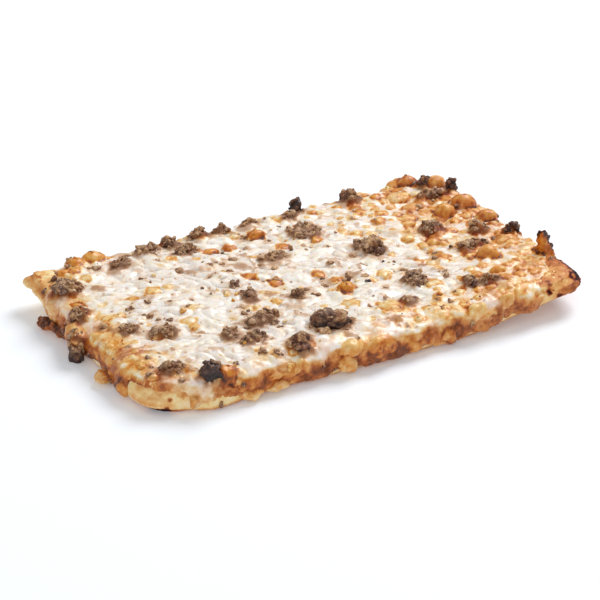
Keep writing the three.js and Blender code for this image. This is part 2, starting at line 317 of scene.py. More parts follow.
def unevenSkin(tree, coarse, fine):
    # Two noises: size in millimetres, detail, roughness, range of shading, strength and depth of the bumps.
    # Gives the coarse one, the shading of both and the bumps of both
    place = addNode(tree, "TexCoord", {}, "Object")
    noises, shades, bump = [], [], {}
    for size, detail, roughness, low, high, strength, depth in (coarse, fine):
        pattern = {"Vector": place, "Scale": 1000.0 / size, "Detail": detail, "Roughness": roughness}
        noises.append(addNode(tree, "TexNoise", pattern))
        shades.append(addNode(tree, "MapRange", (noises[-1], 0.3, 0.7, low, high)))
        raised = {"Strength": strength, "Distance": depth, "Height": noises[-1], **bump}
        bump = {"Normal": addNode(tree, "Bump", raised)}
    uneven = addNode(tree, "Math", shades, operation="ADD")
    return noises[0], uneven, bump["Normal"]


cheeseColours = {
    "yellow": [
        (0.0, "#FAF5EF"), (0.16, "#F3E5CB"), (0.32, "#EECA86"), (0.5, "#DF9838"), (0.66, "#C0630F"),
        (0.82, "#7E3E0C"), (1.0, "#351608"),
    ],
    "pink": [
        (0.0, "#F8EEE7"), (0.2, "#F0D8C6"), (0.4, "#E0AE88"), (0.58, "#C07D50"), (0.75, "#8E4924"),
        (1.0, "#401E12"),
    ],
    # Painted shade for the creases of the skin
    "creaseShade": "#A29191",
    # Meat juice and painted contact shade
    "juiceAndShade": [(0.0, "#FFFFFF"), (0.3, "#E6CDB8"), (0.65, "#AC8468"), (1.0, "#6C4632")],
}


def meltedCheese():
    # Grilled melted cheese: fat and protein that let light in a little way, wet with oil, brown where it rose
    material, tree = newMaterial("meltedCheese")
    blotch, uneven, skin = unevenSkin(
        tree, (3.2, 3.0, 0.55, -0.08, 0.08, 0.4, 0.0006), (0.9, 2.0, 0.6, -0.05, 0.05, 0.35, 0.0003)
    )
    # The browning mask carries the bake and painted shade from the hollows
    browningAndShade, stainAndShade, creaseShade, blush = readMasks(tree, "browningAndShade", "stainAndShade", "creaseShade", "blush")
    baked = addNode(tree, "Math", (browningAndShade, uneven), operation="ADD")
    yellow = addNode(tree, "ValToRGB", {"Fac": baked}, stops=cheeseColours["yellow"])
    pink = addNode(tree, "ValToRGB", {"Fac": baked}, stops=cheeseColours["pink"])
    flushed = addNode(tree, "Mix", {0: blush, 6: yellow, 7: pink}, 2, data_type="RGBA")
    # Painted shade: the creases of the skin are darkened to a greyish mauve
    shade = linear(cheeseColours["creaseShade"])
    shaded = addNode(tree, "Mix", {0: creaseShade, 6: flushed, 7: shade}, 2, data_type="RGBA")
    # Meat juice and a painted contact shadow darken the cheese by the crumbs
    juiceAndShade = addNode(tree, "ValToRGB", {"Fac": stainAndShade}, stops=cheeseColours["juiceAndShade"])
    stainedAndShaded = addNode(tree, "Mix", {0: 1.0, 6: shaded, 7: juiceAndShade}, 2, data_type="RGBA", blend_type="MULTIPLY")
    clear = addNode(tree, "MapRange", (browningAndShade, 0.25, 0.6, 0.25, 0.06))
    oily = addNode(tree, "MapRange", (browningAndShade, 0.25, 0.6, 0.25, 0.11))
    unstained = addNode(tree, "MapRange", (stainAndShade, 0.2, 0.6, 1.0, 0.1))
    skinRough = addNode(tree, "MapRange", (blotch, 0.25, 0.75, 0.26, 0.46))
    stainRough = addNode(tree, "MapRange", (stainAndShade, 0.2, 0.6, 0.0, 0.25))
    return finished(material, {
        "Base Color": stainedAndShaded,
        "Roughness": addNode(tree, "Math", (skinRough, stainRough), operation="ADD"),
        "IOR": 1.45,
        "Specular IOR Level": 0.35,
        "Subsurface Weight": clear,
        "Subsurface Radius": (1.0, 0.62, 0.35),
        "Subsurface Scale": 0.002,
        "Coat Weight": addNode(tree, "Math", (oily, unstained), operation="MULTIPLY"),
        "Coat Roughness": 0.17,
        "Normal": skin,
    })


doughColours = {
    "crust": [
        (0.0, "#FFF3D2"), (0.25, "#F6D798"), (0.45, "#E2A662"), (0.65, "#C67639"), (0.82, "#8A441B"),
        (1.0, "#452012"),
    ],
    "scorch": [(0.0, "#FFFFFF"), (0.35, "#BE7A4E"), (0.7, "#663622"), (1.0, "#33190F")],
}


def bakedDough():
    # Baked wheat dough: a dry matt crust, pale gold where it was sheltered, brown to black in the heat
    material, tree = newMaterial("bakedDough")
    mottle, uneven, skin = unevenSkin(
        tree, (4.0, 4.0, 0.6, -0.14, 0.14, 0.25, 0.0006), (0.7, 2.0, 0.5, 0.0, 0.0, 0.25, 0.0003)
    )
    bake, charring = readMasks(tree, "bake", "charring")
    baked = addNode(tree, "Math", (bake, uneven), operation="ADD")
    crust = addNode(tree, "ValToRGB", {"Fac": baked}, stops=doughColours["crust"])
    scorch = addNode(tree, "ValToRGB", {"Fac": charring}, stops=doughColours["scorch"])
    burnt = addNode(tree, "Mix", {0: 1.0, 6: crust, 7: scorch}, 2, data_type="RGBA", blend_type="MULTIPLY")
    crustRough = addNode(tree, "MapRange", (mottle, 0.3, 0.7, 0.45, 0.62))
    sootRough = addNode(tree, "MapRange", (charring, 0.0, 0.7, 0.0, 0.3))
    return finished(material, {
        "Base Color": burnt,
        "Roughness": addNode(tree, "Math", (crustRough, sootRough), operation="ADD"),
        "IOR": 1.45,
        "Specular IOR Level": 0.3,
        "Subsurface Weight": 0.15,
        "Subsurface Radius": (1.0, 0.6, 0.3),
        "Subsurface Scale": 0.002,
        "Normal": skin,
    })


meatColours = {
    "grey": [(0.0, "#1C0D08"), (0.25, "#402318"), (0.48, "#6A4630"), (0.72, "#926E50"), (1.0, "#C8A582")],
    "rusty": [(0.0, "#1E0B08"), (0.25, "#4B2316"), (0.48, "#774529"), (0.72, "#A2714A"), (1.0, "#D2A878")],
    "roughness": (0.45, 0.7),
}
charColours = {
    "grey": [(0.0, "#120908"), (0.35, "#2C1814"), (0.65, "#50332A"), (1.0, "#8A6656")],
    "rusty": [(0.0, "#170B08"), (0.35, "#3A1E16"), (0.65, "#6E4430"), (1.0, "#A8784F")],
    "roughness": (0.3, 0.55),
}


def cookedMince(name, colours):
    # Fried minced meat: grey-brown grains that hold together, wet in the gaps between them, which painted
    # shade darkens
    material, tree = newMaterial(name)
    mottle, uneven, skin = unevenSkin(
        tree, (2.2, 4.0, 0.65, -0.26, 0.28, 0.5, 0.0009), (0.6, 2.0, 0.5, -0.16, 0.16, 0.5, 0.0005)
    )
    toneAndShading, rust = readMasks(tree, "toneAndShading", "rust")
    shade = addNode(tree, "Math", (toneAndShading, uneven), operation="ADD")
    grey = addNode(tree, "ValToRGB", {"Fac": shade}, stops=colours["grey"])
    rusty = addNode(tree, "ValToRGB", {"Fac": shade}, stops=colours["rusty"])
    smooth, rough = colours["roughness"]
    return finished(material, {
        "Base Color": addNode(tree, "Mix", {0: rust, 6: grey, 7: rusty}, 2, data_type="RGBA"),
        "Roughness": addNode(tree, "MapRange", (mottle, 0.3, 0.7, smooth, rough)),
        "IOR": 1.45,
        "Coat Weight": 0.15,
        "Coat Roughness": 0.3,
        "Normal": skin,
    })


cheeseMaterial = meltedCheese()
doughMaterial = bakedDough()
meatMaterial = cookedMince("cookedMince", meatColours)
charMaterial = cookedMince("charredMince", charColours)

# Dough slab
bread = {
    "cells": (190, 116, 22),
    "crowding": 1.2,
    "sideBulge": 1.1,
    "barePlump": 2.2,
    "footRound": 1.2,
    "topRound": 2.0,
    "crustReach": 26,
    "tip": {"x": -112, "y": 64, "reach": 40},
    "lobe": {"x": 108, "y": -64, "reach": 46},
    # Dark spots: place, reach and how dark
    "charred": [
        (92, -62, 10.5, 1.3, 0.9), (87, -62, 13, 1.2, 0.9), (80.6, -61, 16, 1.2, 0.9),
        (81, -54, 17, 1.3, 1.0), (-99, -58, 0.8, 2.2, 1.0), (-102, -53, 0.8, 2.0, 0.9),
    ],
    "toasted": [(-98, -59, 8, 1.2, 0.9), (-99, -58, 4, 1.2, 0.9), (-92, -61, 10, 3.0, 0.5)],
}


def subdividedBox(cells):
    bm = bmesh.new()
    bmesh.ops.create_cube(bm, size=2)
    for axis, count in enumerate(cells):
        along = [e for e in bm.edges if abs(e.verts[0].co[axis] - e.verts[1].co[axis]) > 0.01]
        bmesh.ops.subdivide_edges(bm, edges=along, cuts=count - 1, use_grid_fill=True)
    return bm


def crowded(along):
    # Draws evenly spaced cells together towards the rim
    return np.sin(bread["crowding"] * along) / math.sin(bread["crowding"])


def doughShape(corners):
    # Bends a box of -1 to 1 into the slab, as the solid is bent
    u, v, level = crowded(corners[:, 0]), crowded(corners[:, 1]), corners[:, 2]
    x, y = planPoint(u, v, 0)
    foot = slab["foot"]["out"] * nearness(slab["foot"], x, y) * ((1 - level) / 2) ** 2
    plump = bread["sideBulge"] + bread["barePlump"] * nearAny(slab["barePanels"], x, y) * (1 - 0.7 * level)
    onRim = np.maximum(np.abs(u), np.abs(v)) > 0.999
    x, y = planPoint(u, v, onRim * (plump * (1 - level * level) + foot))
    low = underside(x, y) + bread["footRound"] * rimCurve(u, v, 4)
    high = doughTop(x, y) - bread["topRound"] * rimCurve(u, v, 6)
    return np.column_stack([x, y, mix(low, high, (level + 1) / 2)])


def makeBread():
    # Gives the slab, and the way from the part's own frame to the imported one
    mesh = meshFrom(subdividedBox(bread["cells"]), "breadBase")
    corners = getPoints(mesh)
    points = doughShape(corners)
    setPoints(mesh, points)
    boxLow, boxHigh = (np.array(corner) * 1000 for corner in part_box("bread_base"))
    offset = (boxLow + boxHigh) / 2 - (points.min(0) + points.max(0)) / 2
    offset[2] = 0
    x, y, z = points.T
    level = corners[:, 2]
    crusty = nearAny([{**corner, "reach": bread["crustReach"]} for corner in slab["bareCorners"]], x, y)
    bumps = 0.3 * grain(points, 7, 2) + 0.12 * grain(points, 2.2, 2, 9)
    bumps += crusty * (0.9 * grain(points, 5, 3, 4) + 0.35 * pebbles(points, 2.5))
    points = pushOut(mesh, points, bumps)
    # Browning: pale sides, brown lower edge, mottled underside, toasted tips
    side = 1 - np.abs(getNormals(mesh)[:, 2])
    height = z - underside(x, y)
    bake = 0.62 + 0.15 * grain(points, 12, 3, 2)
    paleSide = 0.2 + 0.06 * grain(points, 9, 2, 5)
    bake = mix(bake, paleSide, smoothStep((height - 0.6) / 2.2) * smoothStep(2.2 * side))
    bake += 0.35 * smoothStep((height - 9 + 1.5 * grain(points, 5, 2, 54)) / 3) * side
    bake += 0.26 * smoothStep((-x - 94 + 1.5 * grain(points, 5, 2, 84)) / 5) * side * (y < -40)
    tipTop = smoothStep(2 * nearness(bread["tip"], x, y))
    scorched = 0.33 + 0.22 * grain(points, 6, 2, 34) + 0.45 * smoothStep(3 * grain(points, 2.4, 2, 44) - 0.8)
    bake = mix(bake, np.where(level > 0.9, scorched, 0.34 + 0.14 * grain(points, 5, 2, 36)), tipTop)
    lobe = smoothStep(2 * nearness(bread["lobe"], x, y))
    pitted = 0.34 + 0.22 * grain(points, 6, 2, 14) + 0.45 * smoothStep(3 * grain(points, 2.2, 2, 24) - 0.4)
    bake = np.maximum(bake, lobe * np.where(level > 0.5, pitted, 0.28 + 0.46 * smoothStep((x - 84) / 14)))
    rimInset = np.minimum(halfLength - np.abs(x), halfWidth - np.abs(y))
    bake += 0.24 * tipTop * smoothStep(1 - rimInset / 3) * smoothStep((height - 3) / 3)
    charring = np.zeros(len(x))
    ragged = 1 + 0.5 * grain(points, 1.6, 2, 3)
    for *place, reach, dark in bread["charred"]:
        distance = np.linalg.norm((points - place) * [1, 0.4, 1], axis=1)
        charring = np.maximum(charring, dark * smoothStep(1.6 - distance / (reach * ragged)))
    for *place, reach, dark in bread["toasted"]:
        distance = np.linalg.norm(points - place, axis=1)
        bake = np.maximum(bake, 0.95 * dark * smoothStep(1.6 - distance / (reach * ragged)))
    # Charred right end of the lobe, with a brown band inside it
    fromEnd = (1 - crowded(corners[:, 0])) * halfLength + grain(points, 2.5, 3, 7)
    lobeEnd = smoothStep((-36 - y) / 5) * smoothStep((level + 0.4) / 0.6)
    broken = smoothStep((grain(points, 3, 2, 64) + 0.35) / 0.3)
    scorchedRim = np.clip(0.75 + 0.6 * grain(points, 1.6, 2, 74), 0, 1)
    charring = np.maximum(charring, scorchedRim * broken * lobeEnd * smoothStep((3.2 - fromEnd) / 1.6))
    bake = np.maximum(bake, 0.8 * lobeEnd * smoothStep((4.5 - fromEnd) / 3.4))
    setMask(mesh, "bake", bake)
    setMask(mesh, "charring", charring)
    return mesh, offset


def toMetres(points):
    return (points + shift) / 1000


def nodeBox(node):
    # A solid's low and high corner in millimetres, in the part's own frame
    return (np.array(corner) * 1000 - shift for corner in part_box(node))


justAbove = 0.05  # millimetres over the table
overhead = 60  # height that bits are dropped from
fullTurn = 6.28  # radians

# Crumbs of meat
crumb = {
    "lump": 4.6,
    "lumpDepth": 0.8,
    "knob": 2.1,
    "knobDepth": 0.3,
    "grit": 1.9,
    "gritDepth": 0.9,
    "sunk": 3.0,
    "largeFrom": 7.0,
}
barestCrumb = "meat_crumb_01"
hangingCrumb = "meat_crumb_38"
charredNodes = ["meat_crumb_06", "meat_crumb_17", "meat_crumb_35", "meat_crumb_36", "meat_crumb_37"]


def crumbNodes():
    return sorted(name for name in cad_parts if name.startswith("meat_crumb"))


def crag(points, seed):
    x, y, z = points.T
    broad = np.sin(2.6 * x + 1.7 * y + seed) * np.cos(2.2 * z - 1.3 * seed)
    knobs = np.sin(4.7 * y - 3.9 * z + 2.1 * seed) * np.cos(4.1 * x + seed)
    return 1 + 0.2 * broad + 0.17 * knobs


def longWay(node):
    # Angle of the plan's longer way, from how the solid's points are spread
    points = getPoints(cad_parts[node].data)[:, :2]
    spread = np.cov((points - points.mean(0)).T)
    values, vectors = np.linalg.eigh(spread)
    return math.atan2(vectors[1, 1], vectors[0, 1])


def crumbPoints(ball, node):
    # A unit ball made craggy, turned and fitted to the solid's box, its foot sunk in the cheese
    low, high = nodeBox(node)
    size = high - low
    slim = min(1.0, 0.75 * min(size[0], size[1]) / max(size[0], size[1]) + 0.2)
    x, y, z = (ball * crag(ball, int(node[-2:]))[:, None] * np.array([1.0, slim, 0.8])).T
    shaped = np.column_stack([*turned(x, y, -longWay(node)), z])
    ownLow, ownHigh = shaped.min(0), shaped.max(0)
    shaped = (shaped - ownLow) / (ownHigh - ownLow)
    sunkLow = low - np.array([0, 0, crumb["sunk"]])
    return sunkLow + shaped * (high - sunkLow)


def makeCrumbs(name, nodes, tonedDown):
    bm = bmesh.new()
    spans = []
    for node in nodes:
        low, high = nodeBox(node)
        start = len(bm.verts)
        level = 5 if (high - low)[0] > crumb["largeFrom"] else 4
        bmesh.ops.create_icosphere(bm, subdivisions=level, radius=1)
        spans.append((node, start, len(bm.verts)))
    mesh = meshFrom(bm, name)
    points = getPoints(mesh)
    for node, start, end in spans:
        points[start:end] = crumbPoints(points[start:end], node)
    setPoints(mesh, points)
    lumps = puffs(points, crumb["lump"], 5)
    knobs = puffs(points, crumb["knob"], 9)
    grit = grain(points, crumb["grit"], 4, 8)
    relief = crumb["lumpDepth"] * (lumps - 0.5) + crumb["knobDepth"] * (knobs - 0.4)
    relief += crumb["gritDepth"] * grit
    points = pushOut(mesh, points, relief, justAbove)
    toneAndShading = np.empty(len(points))
    draw = np.random.default_rng(3)
    # Painted light and shade: each crumb lighter towards its top and darker towards its foot, with a tone of
    # its own; the crumb that hangs on the side is made paler against the shade it hangs in
    for node, start, end in spans:
        z = points[start:end, 2]
        share = (z - z.min()) / (z.max() - z.min())
        pale = {barestCrumb: -0.1, hangingCrumb: 0.14}.get(node) or draw.uniform(-0.03, 0.2)
        toneAndShading[start:end] = 0.06 + 0.6 * smoothStep(share * 1.25 - 0.2) + pale
    # Painted shade: lighter on the lumps and knobs, darker in the gaps between them
    toneAndShading += 0.16 * (lumps - 0.5) + 0.2 * (knobs - 0.4) + 0.16 * grit
    toneAndShading += 0.2 * grain(points, 6, 2, 2) - tonedDown
    setMask(mesh, "toneAndShading", np.clip(toneAndShading, 0, 1))
    setMask(mesh, "rust", smoothStep(0.35 + 1.5 * grain(points, 7, 2, 13)))
    return mesh


# Melted cheese
cheese = {
    "cellsLong": 324,
    "cellsAcross": 190,
    "sideRings": 15,
    "innerRings": [0.985, 0.97, 0.8, 0.55, 0.3, 0.1],
    "thickness": 2.8,
    "onSides": 2.0,
    "rimReach": 11.0,
    "rimDrop": 4.8,
    "shredTurn": math.radians(-34),
    "shredStretch": 1.5,
    "flatBubbles": {"count": 20, "area": [(60, 104), (-44, 60)]},
    "fineBubbles": {"count": 190, "area": [(-104, 106), (-58, 60)]},
    "climb": 1.5,
    "juiceAndShade": 0.85,
    "juiceAndShadeReach": 1.65,
}

# Browned bubbles: place, width, and how brown, from pale tan at 0.3 to deep amber at 1
bubbles = [
    (-22, 11, 7, 0.95), (-15, 1, 7, 0.95), (0, 45, 8, 1.0), (-26, 41, 7, 1.0), (-16, 41, 6, 0.95),
    (5, 30, 6, 0.85), (22, 28, 6, 0.8), (5, -3, 6, 0.85), (9, -20, 9, 0.9), (-75, 59, 10, 0.75),
    (-72, -60, 9, 1.0), (-65, 20, 7, 0.5), (-84, 58, 8, 0.8), (-92, 53, 6, 0.7), (-68, 60, 6, 0.6),
    (-100, 44, 6, 0.5), (17, -44, 13, 0.57), (45, -35, 8, 0.45), (86, 23, 11, 0.8),
    (99, 28, 12, 0.85), (79, -25, 11, 0.76), (101, 11, 9.6, 0.85), (98, 50, 9.5, 0.85), (88, 59, 10.5, 0.85),
    (4, -33, 8, 0.4), (34, 54, 4.4, 0.9), (10, -11, 5.3, 0.7), (-100, 24, 6.2, 0.9), (-88, 51, 6.2, 0.75),
    (-44, 42, 4.4, 0.7), (64, 59, 5.3, 0.8), (68, 54, 5.3, 0.8), (55, 30, 6.2, 0.6), (53, 43, 5.3, 0.6),
    (-65, -14, 7, 0.3), (31, -16, 7, 0.4), (36, 29, 5.3, 0.4), (50, -47, 6.2, 0.35), (100, 3, 6.2, 0.7),
    (86, 14, 5.3, 0.6), (77, 28, 4.4, 0.6), (66, 22, 6.2, 0.55), (58, 9, 6.2, 0.5), (67, 1, 6.2, 0.55),
    (78, 5, 6.2, 0.6), (61, -10, 6.2, 0.5), (55, -17, 6.2, 0.3), (71, -33, 5.3, 0.6), (74, -41, 7, 0.6),
    (81, -38, 5.3, 0.65), (88, -37, 5.3, 0.7), (88, -49, 6.2, 0.6), (101.5, -32, 7.6, 1.0),
]
craters = [{"x": 98, "y": -11, "width": 9.0}, {"x": 40, "y": -47, "width": 5.0}]

# Folds, drips and lobes along the slab's sides: middle, size each way, and how brown
sideLobes = [
    (-90, -63.5, 6.5, 3.6, 4.5, 10, 0.5), (-62, -64.5, 3.4, 11, 6, 4.6, 0.3),
    (-49, -63.5, 3.2, 12, 6, 4.2, 0.3), (-16, -64.5, 5.6, 9, 6, 9, 0.35), (-13, -62.5, 11.5, 13, 7, 7, 0.5),
    (1, -63, 9, 16, 8, 9, 0.6), (18, -62.5, 6, 12, 6, 8, 0.6), (36, -62.5, 5, 9, 5, 6, 0.6),
    (62, -61.5, 7, 4, 4.5, 9, 0.7), (74, -59.5, 13, 13, 8, 9, 0.4), (-109, 8, 10, 6, 15, 9, 0.4),
    (-110.5, -20, 3, 8, 9, 4.4, 0.22), (-108, -36, 5, 6, 8, 8, 0.5), (84, 63, 14.5, 13, 8, 6, 0.5),
]

# Smaller lumps and folds all round the sides, each round a point of the outline
sideLumps = {"count": 60, "long": (5.0, 15.0), "deep": (3.0, 5.0), "tall": (3.5, 9.0), "height": (2.5, 12.5)}


def planSpot(u, v, grow):
    return [float(place) for place in planPoint(np.array(u), np.array(v), grow)]


def outlineSpot(along, way):
    # A point on the front, left, back or right side of a square of -1 to 1
    return [(along, -1.0), (-1.0, along), (along, 1.0), (1.0, along)][way]


def roundTheSides():
    draw = np.random.default_rng(23)
    found = []
    for _ in range(sideLumps["count"]):
        along = draw.uniform(-0.95, 0.95)
        u, v = outlineSpot(along, draw.choice(4, p=[0.36, 0.18, 0.28, 0.18]))
        long, deep, tall = (draw.uniform(*sideLumps[way]) for way in ("long", "deep", "tall"))
        z = draw.uniform(*sideLumps["height"])
        x, y = planSpot(u, v, 1.3)
        bare = float(nearAny(slab["barePanels"], x, y))
        overFoot = nearness(slab["foot"], x, y) > 0.1 and z < 8
        if bare > 0.1 and z < 11 or bare > 0.5 or overFoot:
            continue
        size = (long, deep, tall) if abs(v) == 1 else (deep, long, tall)
        found.append((x, y, z + float(underside(x, y)), *size, 0.45 if z > 8 else 0))
    return found


def cover(x, y):
    # How much cheese there is: 1 over the slab, and below 0 at the two bare corners
    return 1 - 1.7 * nearAny(slab["bareCorners"], x, y)


def cheeseTop(x, y):
    return doughTop(x, y) + cheese["thickness"] * cover(x, y) + 0.8 * swell(x, y)


def surfaceHeight(x, y):
    inset = np.minimum(halfLength - np.abs(x), halfWidth - np.abs(y)) + 1.5
    return cheeseTop(x, y) - cheese["rimDrop"] * roundedRim(inset, cheese["rimReach"])


def dripLine(x, y):
    # How high over the underside the cheese ends: in a wavy line, and higher where a side stays bare
    wavy = 2.4 + 0.9 * np.sin(x / 6.3 + y / 8) + 0.6 * np.sin(x / 3.4 - y / 4.7)
    sides = slab["barePanels"] + [slab["foot"]]
    bare = [side["height"] * smoothStep(2.4 * nearness(side, x, y) - 0.15) for side in sides]
    return np.maximum(wavy, np.max(bare, axis=0))


def sheetGrid():
    # A flat grid of -1 to 1, its edge drawn down in rings, then in again underneath and closed at the middle
    bm = bmesh.new()
    levelLayer = bm.verts.layers.float.new("level")
    innerLayer = bm.verts.layers.float.new("inner")
    bmesh.ops.create_grid(bm, x_segments=cheese["cellsLong"], y_segments=cheese["cellsAcross"], size=1)
    for vert in bm.verts:
        vert[levelLayer] = 1
    ring = [edge for edge in bm.edges if edge.is_boundary]

    def nextRing(edges, level, inner, inward):
        made = bmesh.ops.extrude_edge_only(bm, edges=edges)["geom"]
        fresh = {part for part in made if isinstance(part, bmesh.types.BMVert)}
        for vert in fresh:
            vert[levelLayer] = level
            vert[innerLayer] = inner
            vert.co.xy *= inward
        return [part for part in made if isinstance(part, bmesh.types.BMEdge) and set(part.verts) <= fresh]

    for i in range(cheese["sideRings"]):
        ring = nextRing(ring, 1 - 2 * (i + 1) / cheese["sideRings"], 0, 1)
    last = 1
    for i, inward in enumerate(cheese["innerRings"]):
        ring = nextRing(ring, -1, 1 if i == 0 else 2, inward / last)
        last = inward
    middle = list({vert for edge in ring for vert in edge.verts})
    bmesh.ops.pointmerge(bm, verts=middle, merge_co=Vector((0, 0, 0)))
    bmesh.ops.recalc_face_normals(bm, faces=bm.faces)
    bm.verts.index_update()
    count = len(bm.verts)

    def cornerNumber(part):
        first, second, *others = sorted(vert.index for vert in part.verts)
        return (first * count + second) * count + (others[0] if others else 0)

    # Extruding leaves edges and faces in an order that differs from run to run
    bm.edges.sort(key=cornerNumber)
    bm.faces.sort(key=cornerNumber)
    return bm


def sheetShape(u, v, level, inner):
    x, y = planPoint(u, v, 0)
    lobed = 0.6 * np.sin(x / 4.3 + y / 5.9 + level) + 0.7 * (1 - level * level)
    rim = np.maximum(np.abs(u), np.abs(v)) ** 6
    thinned = 1 - 0.85 * smoothStep(2 * nearAny(slab["barePanels"], x, y))
    outX, outY = planPoint(u, v, (cheese["onSides"] * cover(x, y) + lobed * rim) * thinned)
    high = cheeseTop(outX, outY) - cheese["rimDrop"] * rimCurve(u, v, cheese["rimReach"])
    ragged = 0.9 * grain(np.column_stack([outX, outY, np.zeros(len(outX))]), 4, 2, 11)
    edge = underside(outX, outY) + dripLine(outX, outY) + ragged
    low = np.minimum(edge, high - 1.2)
    z = mix(low, high, (level + 1) / 2)
    under = inner > 0.5
    z[under] = (low + 0.4)[under]
    deep = inner > 1.5
    z[deep] = doughTop(x, y)[deep] - 0.8
    outX[under], outY[under] = x[under], y[under]
    return np.column_stack([outX, outY, z])


def lumpReach(points, normals, middle, size, spread=0.6, warp=0):
    # Points inside an oval lump, made less even by the warp, and their places on its skin
    half = np.array(size) / 2
    away = (points + warp - middle) / half
    square = np.sum(away**2, axis=1)
    inside = np.flatnonzero(square < 1)
    away = away[inside]
    normal = normals[inside]
    sideways = away - normal * np.sum(away * normal, axis=1)[:, None]
    route = normal + spread * sideways
    route /= np.linalg.norm(route, axis=1)[:, None]
    a = np.sum((route / half) ** 2, axis=1)
    b = 2 * np.sum(away * route / half, axis=1)
    c = square[inside] - 1
    step = (-b + np.sqrt(b * b - 4 * a * c)) / (2 * a)
    return inside, points[inside] + route * step[:, None]


def anyPlace(draw, kind):
    return [draw.uniform(*span) for span in kind["area"]]


def anySize(draw, kind, power=2.0):
    return mix(kind["smallest"], kind["largest"], draw.random() ** power)


def roomFor(x, y, width, others, share):
    return all(math.hypot(b[0] - x, b[1] - y) > (b[2] + width) * share for b in others)


def smallBubbles():
    # The small bubbles that the solid has on the browned third, drawn in the same order
    seed = 20
    found = []

    def draw():
        nonlocal seed
        seed = (seed * 1664525 + 1013904223) % 2**32
        return seed / 2**32

    for column in range(7):
        for row in range(5):
            x = 52 + 7.6 * (column + 0.8 * draw())
            y = -50 + 21 * (row + 0.8 * draw())
            width = 4.5 + 2.5 * draw()
            if roomFor(x, y, width, bubbles, 0.42):
                found.append((x, y, width, 0.5 + 0.2 * draw()))
    return found


def flatBubbles():
    # Wide low bubbles that run into each other where the cheese is browned
    draw = np.random.default_rng(61)
    found = []
    while len(found) < cheese["flatBubbles"]["count"]:
        x, y = anyPlace(draw, cheese["flatBubbles"])
        if x - 0.2 * abs(y) > 62:
            found.append((x, y, draw.uniform(6.0, 11.0), draw.uniform(0.3, 0.65)))
    return found


def fineBubbles(taken):
    # Finer bubbles between the others, thickest where the cheese is brownest
    draw = np.random.default_rng(7)
    found = []
    fine = cheese["fineBubbles"]
    for _ in range(fine["count"] * 12):
        x, y = anyPlace(draw, fine)
        width = draw.uniform(2.4, 5.2)
        wanted = 0.03 + (0.97 if x > -50 else 0.2) * float(brownField(np.array([x]), np.array([y]))[0])
        if draw.random() > wanted or len(found) >= fine["count"]:
            continue
        if roomFor(x, y, width, taken + found, 0.46):
            found.append((x, y, width, draw.uniform(0.3, 0.65)))
    return found


def brownField(x, y):
    # How brown the cheese is: white on the left two thirds, browned to the right and along the edges
    right = smoothStep((x - 42 + 0.35 * (y + 20)) / 62)
    wobble = 8 * grain(np.column_stack([x, y, 0 * x]), 13, 2, 63)
    reach = 12 * smoothStep(x / 30) + 9 * smoothStep((-x - 76) / 16)
    front = smoothStep((-y - 52 + reach + wobble) / 13) * 0.85
    back = smoothStep((y - 50 + wobble) / 12) * (0.42 + 0.2 * smoothStep((x - 20) / 40))
    left = smoothStep((-x - 86 + wobble) / 15) * 0.75
    return np.clip(np.maximum.reduce([right * 0.74, front, back, left]), 0, 1)


# Where the cheese beside the two bare corners and at the front left one is toasted
toastedSpots = [
    {"x": 110, "y": -56, "reach": 62}, {"x": -108, "y": 62, "reach": 44}, {"x": -108, "y": -42, "reach": 44},
]
# Where its sides stayed pale
paleSpots = [{"x": -112, "y": 46, "reach": 26}, {"x": -90, "y": -66, "reach": 36}]


def toasted(x, y):
    right, left, corner = (smoothStep(1.8 * nearness(spot, x, y)) for spot in toastedSpots)
    front = smoothStep((-y - 44) / 14) * (0.6 + 0.4 * smoothStep((x - 10) / 30))
    return np.maximum.reduce([right, left, front, 0.9 * corner])


def nearCrumbs(points, nodes, margin):
    # Which points lie in those crumbs' boxes, widened by a margin, or in their plans where there is no height
    near = np.zeros(len(points), bool)
    for node in nodes:
        low, high = (corner[: points.shape[1]] for corner in nodeBox(node))
        near |= np.all((points > low - margin) & (points < high + margin), axis=1)
    return near


def crumbGap(points, wanted):
    # Distance from each wanted point to the nearest crumb within 4 mm, and 9 where there is none
    gap = np.full(len(points), 9.0)
    for index in np.flatnonzero(nearCrumbs(points, crumbNodes(), 4) & wanted):
        found = crumbTree.find_nearest(Vector(points[index]), 4.0)
        if found[3] is not None:
            gap[index] = found[3]
    return gap


def crumbRise(points, top):
    # How far a crumb stands above each point of the sheet's top, 0 where none does
    rise = np.zeros(len(points))
    covered = [node for node in meatNodes if node != barestCrumb]
    for index in np.flatnonzero(nearCrumbs(points[:, :2], covered, 0) & top):
        found = dropped(mildTree, points[index, 0], points[index, 1])
        if found:
            rise[index] = max(0.0, found[0].z - points[index, 2])
    return rise


# Smaller bits of meat that the photo shows apart: place and size
bits = [
    (-99, 1, 4.5), (-77, 50, 4), (-95, 55, 3), (-105, 46, 3), (-89, 57, 3.4), (-85, 61, 3), (-78, -2, 3.6),
    (-72, -9, 3.4), (-73, 10, 3.2), (-64, 34, 2.6), (-96, -35, 3.2), (-98, -21, 2.6), (-27, 26, 3.4),
    (-28, 19, 3.6), (-32, 7, 4.2), (-38, 3, 3), (-9, 12, 3.2), (-12, 19, 2.8), (-5, -18, 4), (3, -12, 3.4),
    (15, -11, 4.4), (22, -15, 3.6), (-45, -57, 4.2), (-51, -53, 4), (80, 35, 3), (94, 25, 3), (46, 62, 2.8),
    (-102, -48, 3.6), (-6, 47, 3.6), (53, -32, 3.4),
]
seededBits = {"count": 180, "smallest": 0.9, "largest": 4.0, "area": [(-107, 106), (-61, 62)]}
buried = {"count": 120, "smallest": 1.4, "largest": 6.0, "area": [(-106, 104), (-60, 61)]}


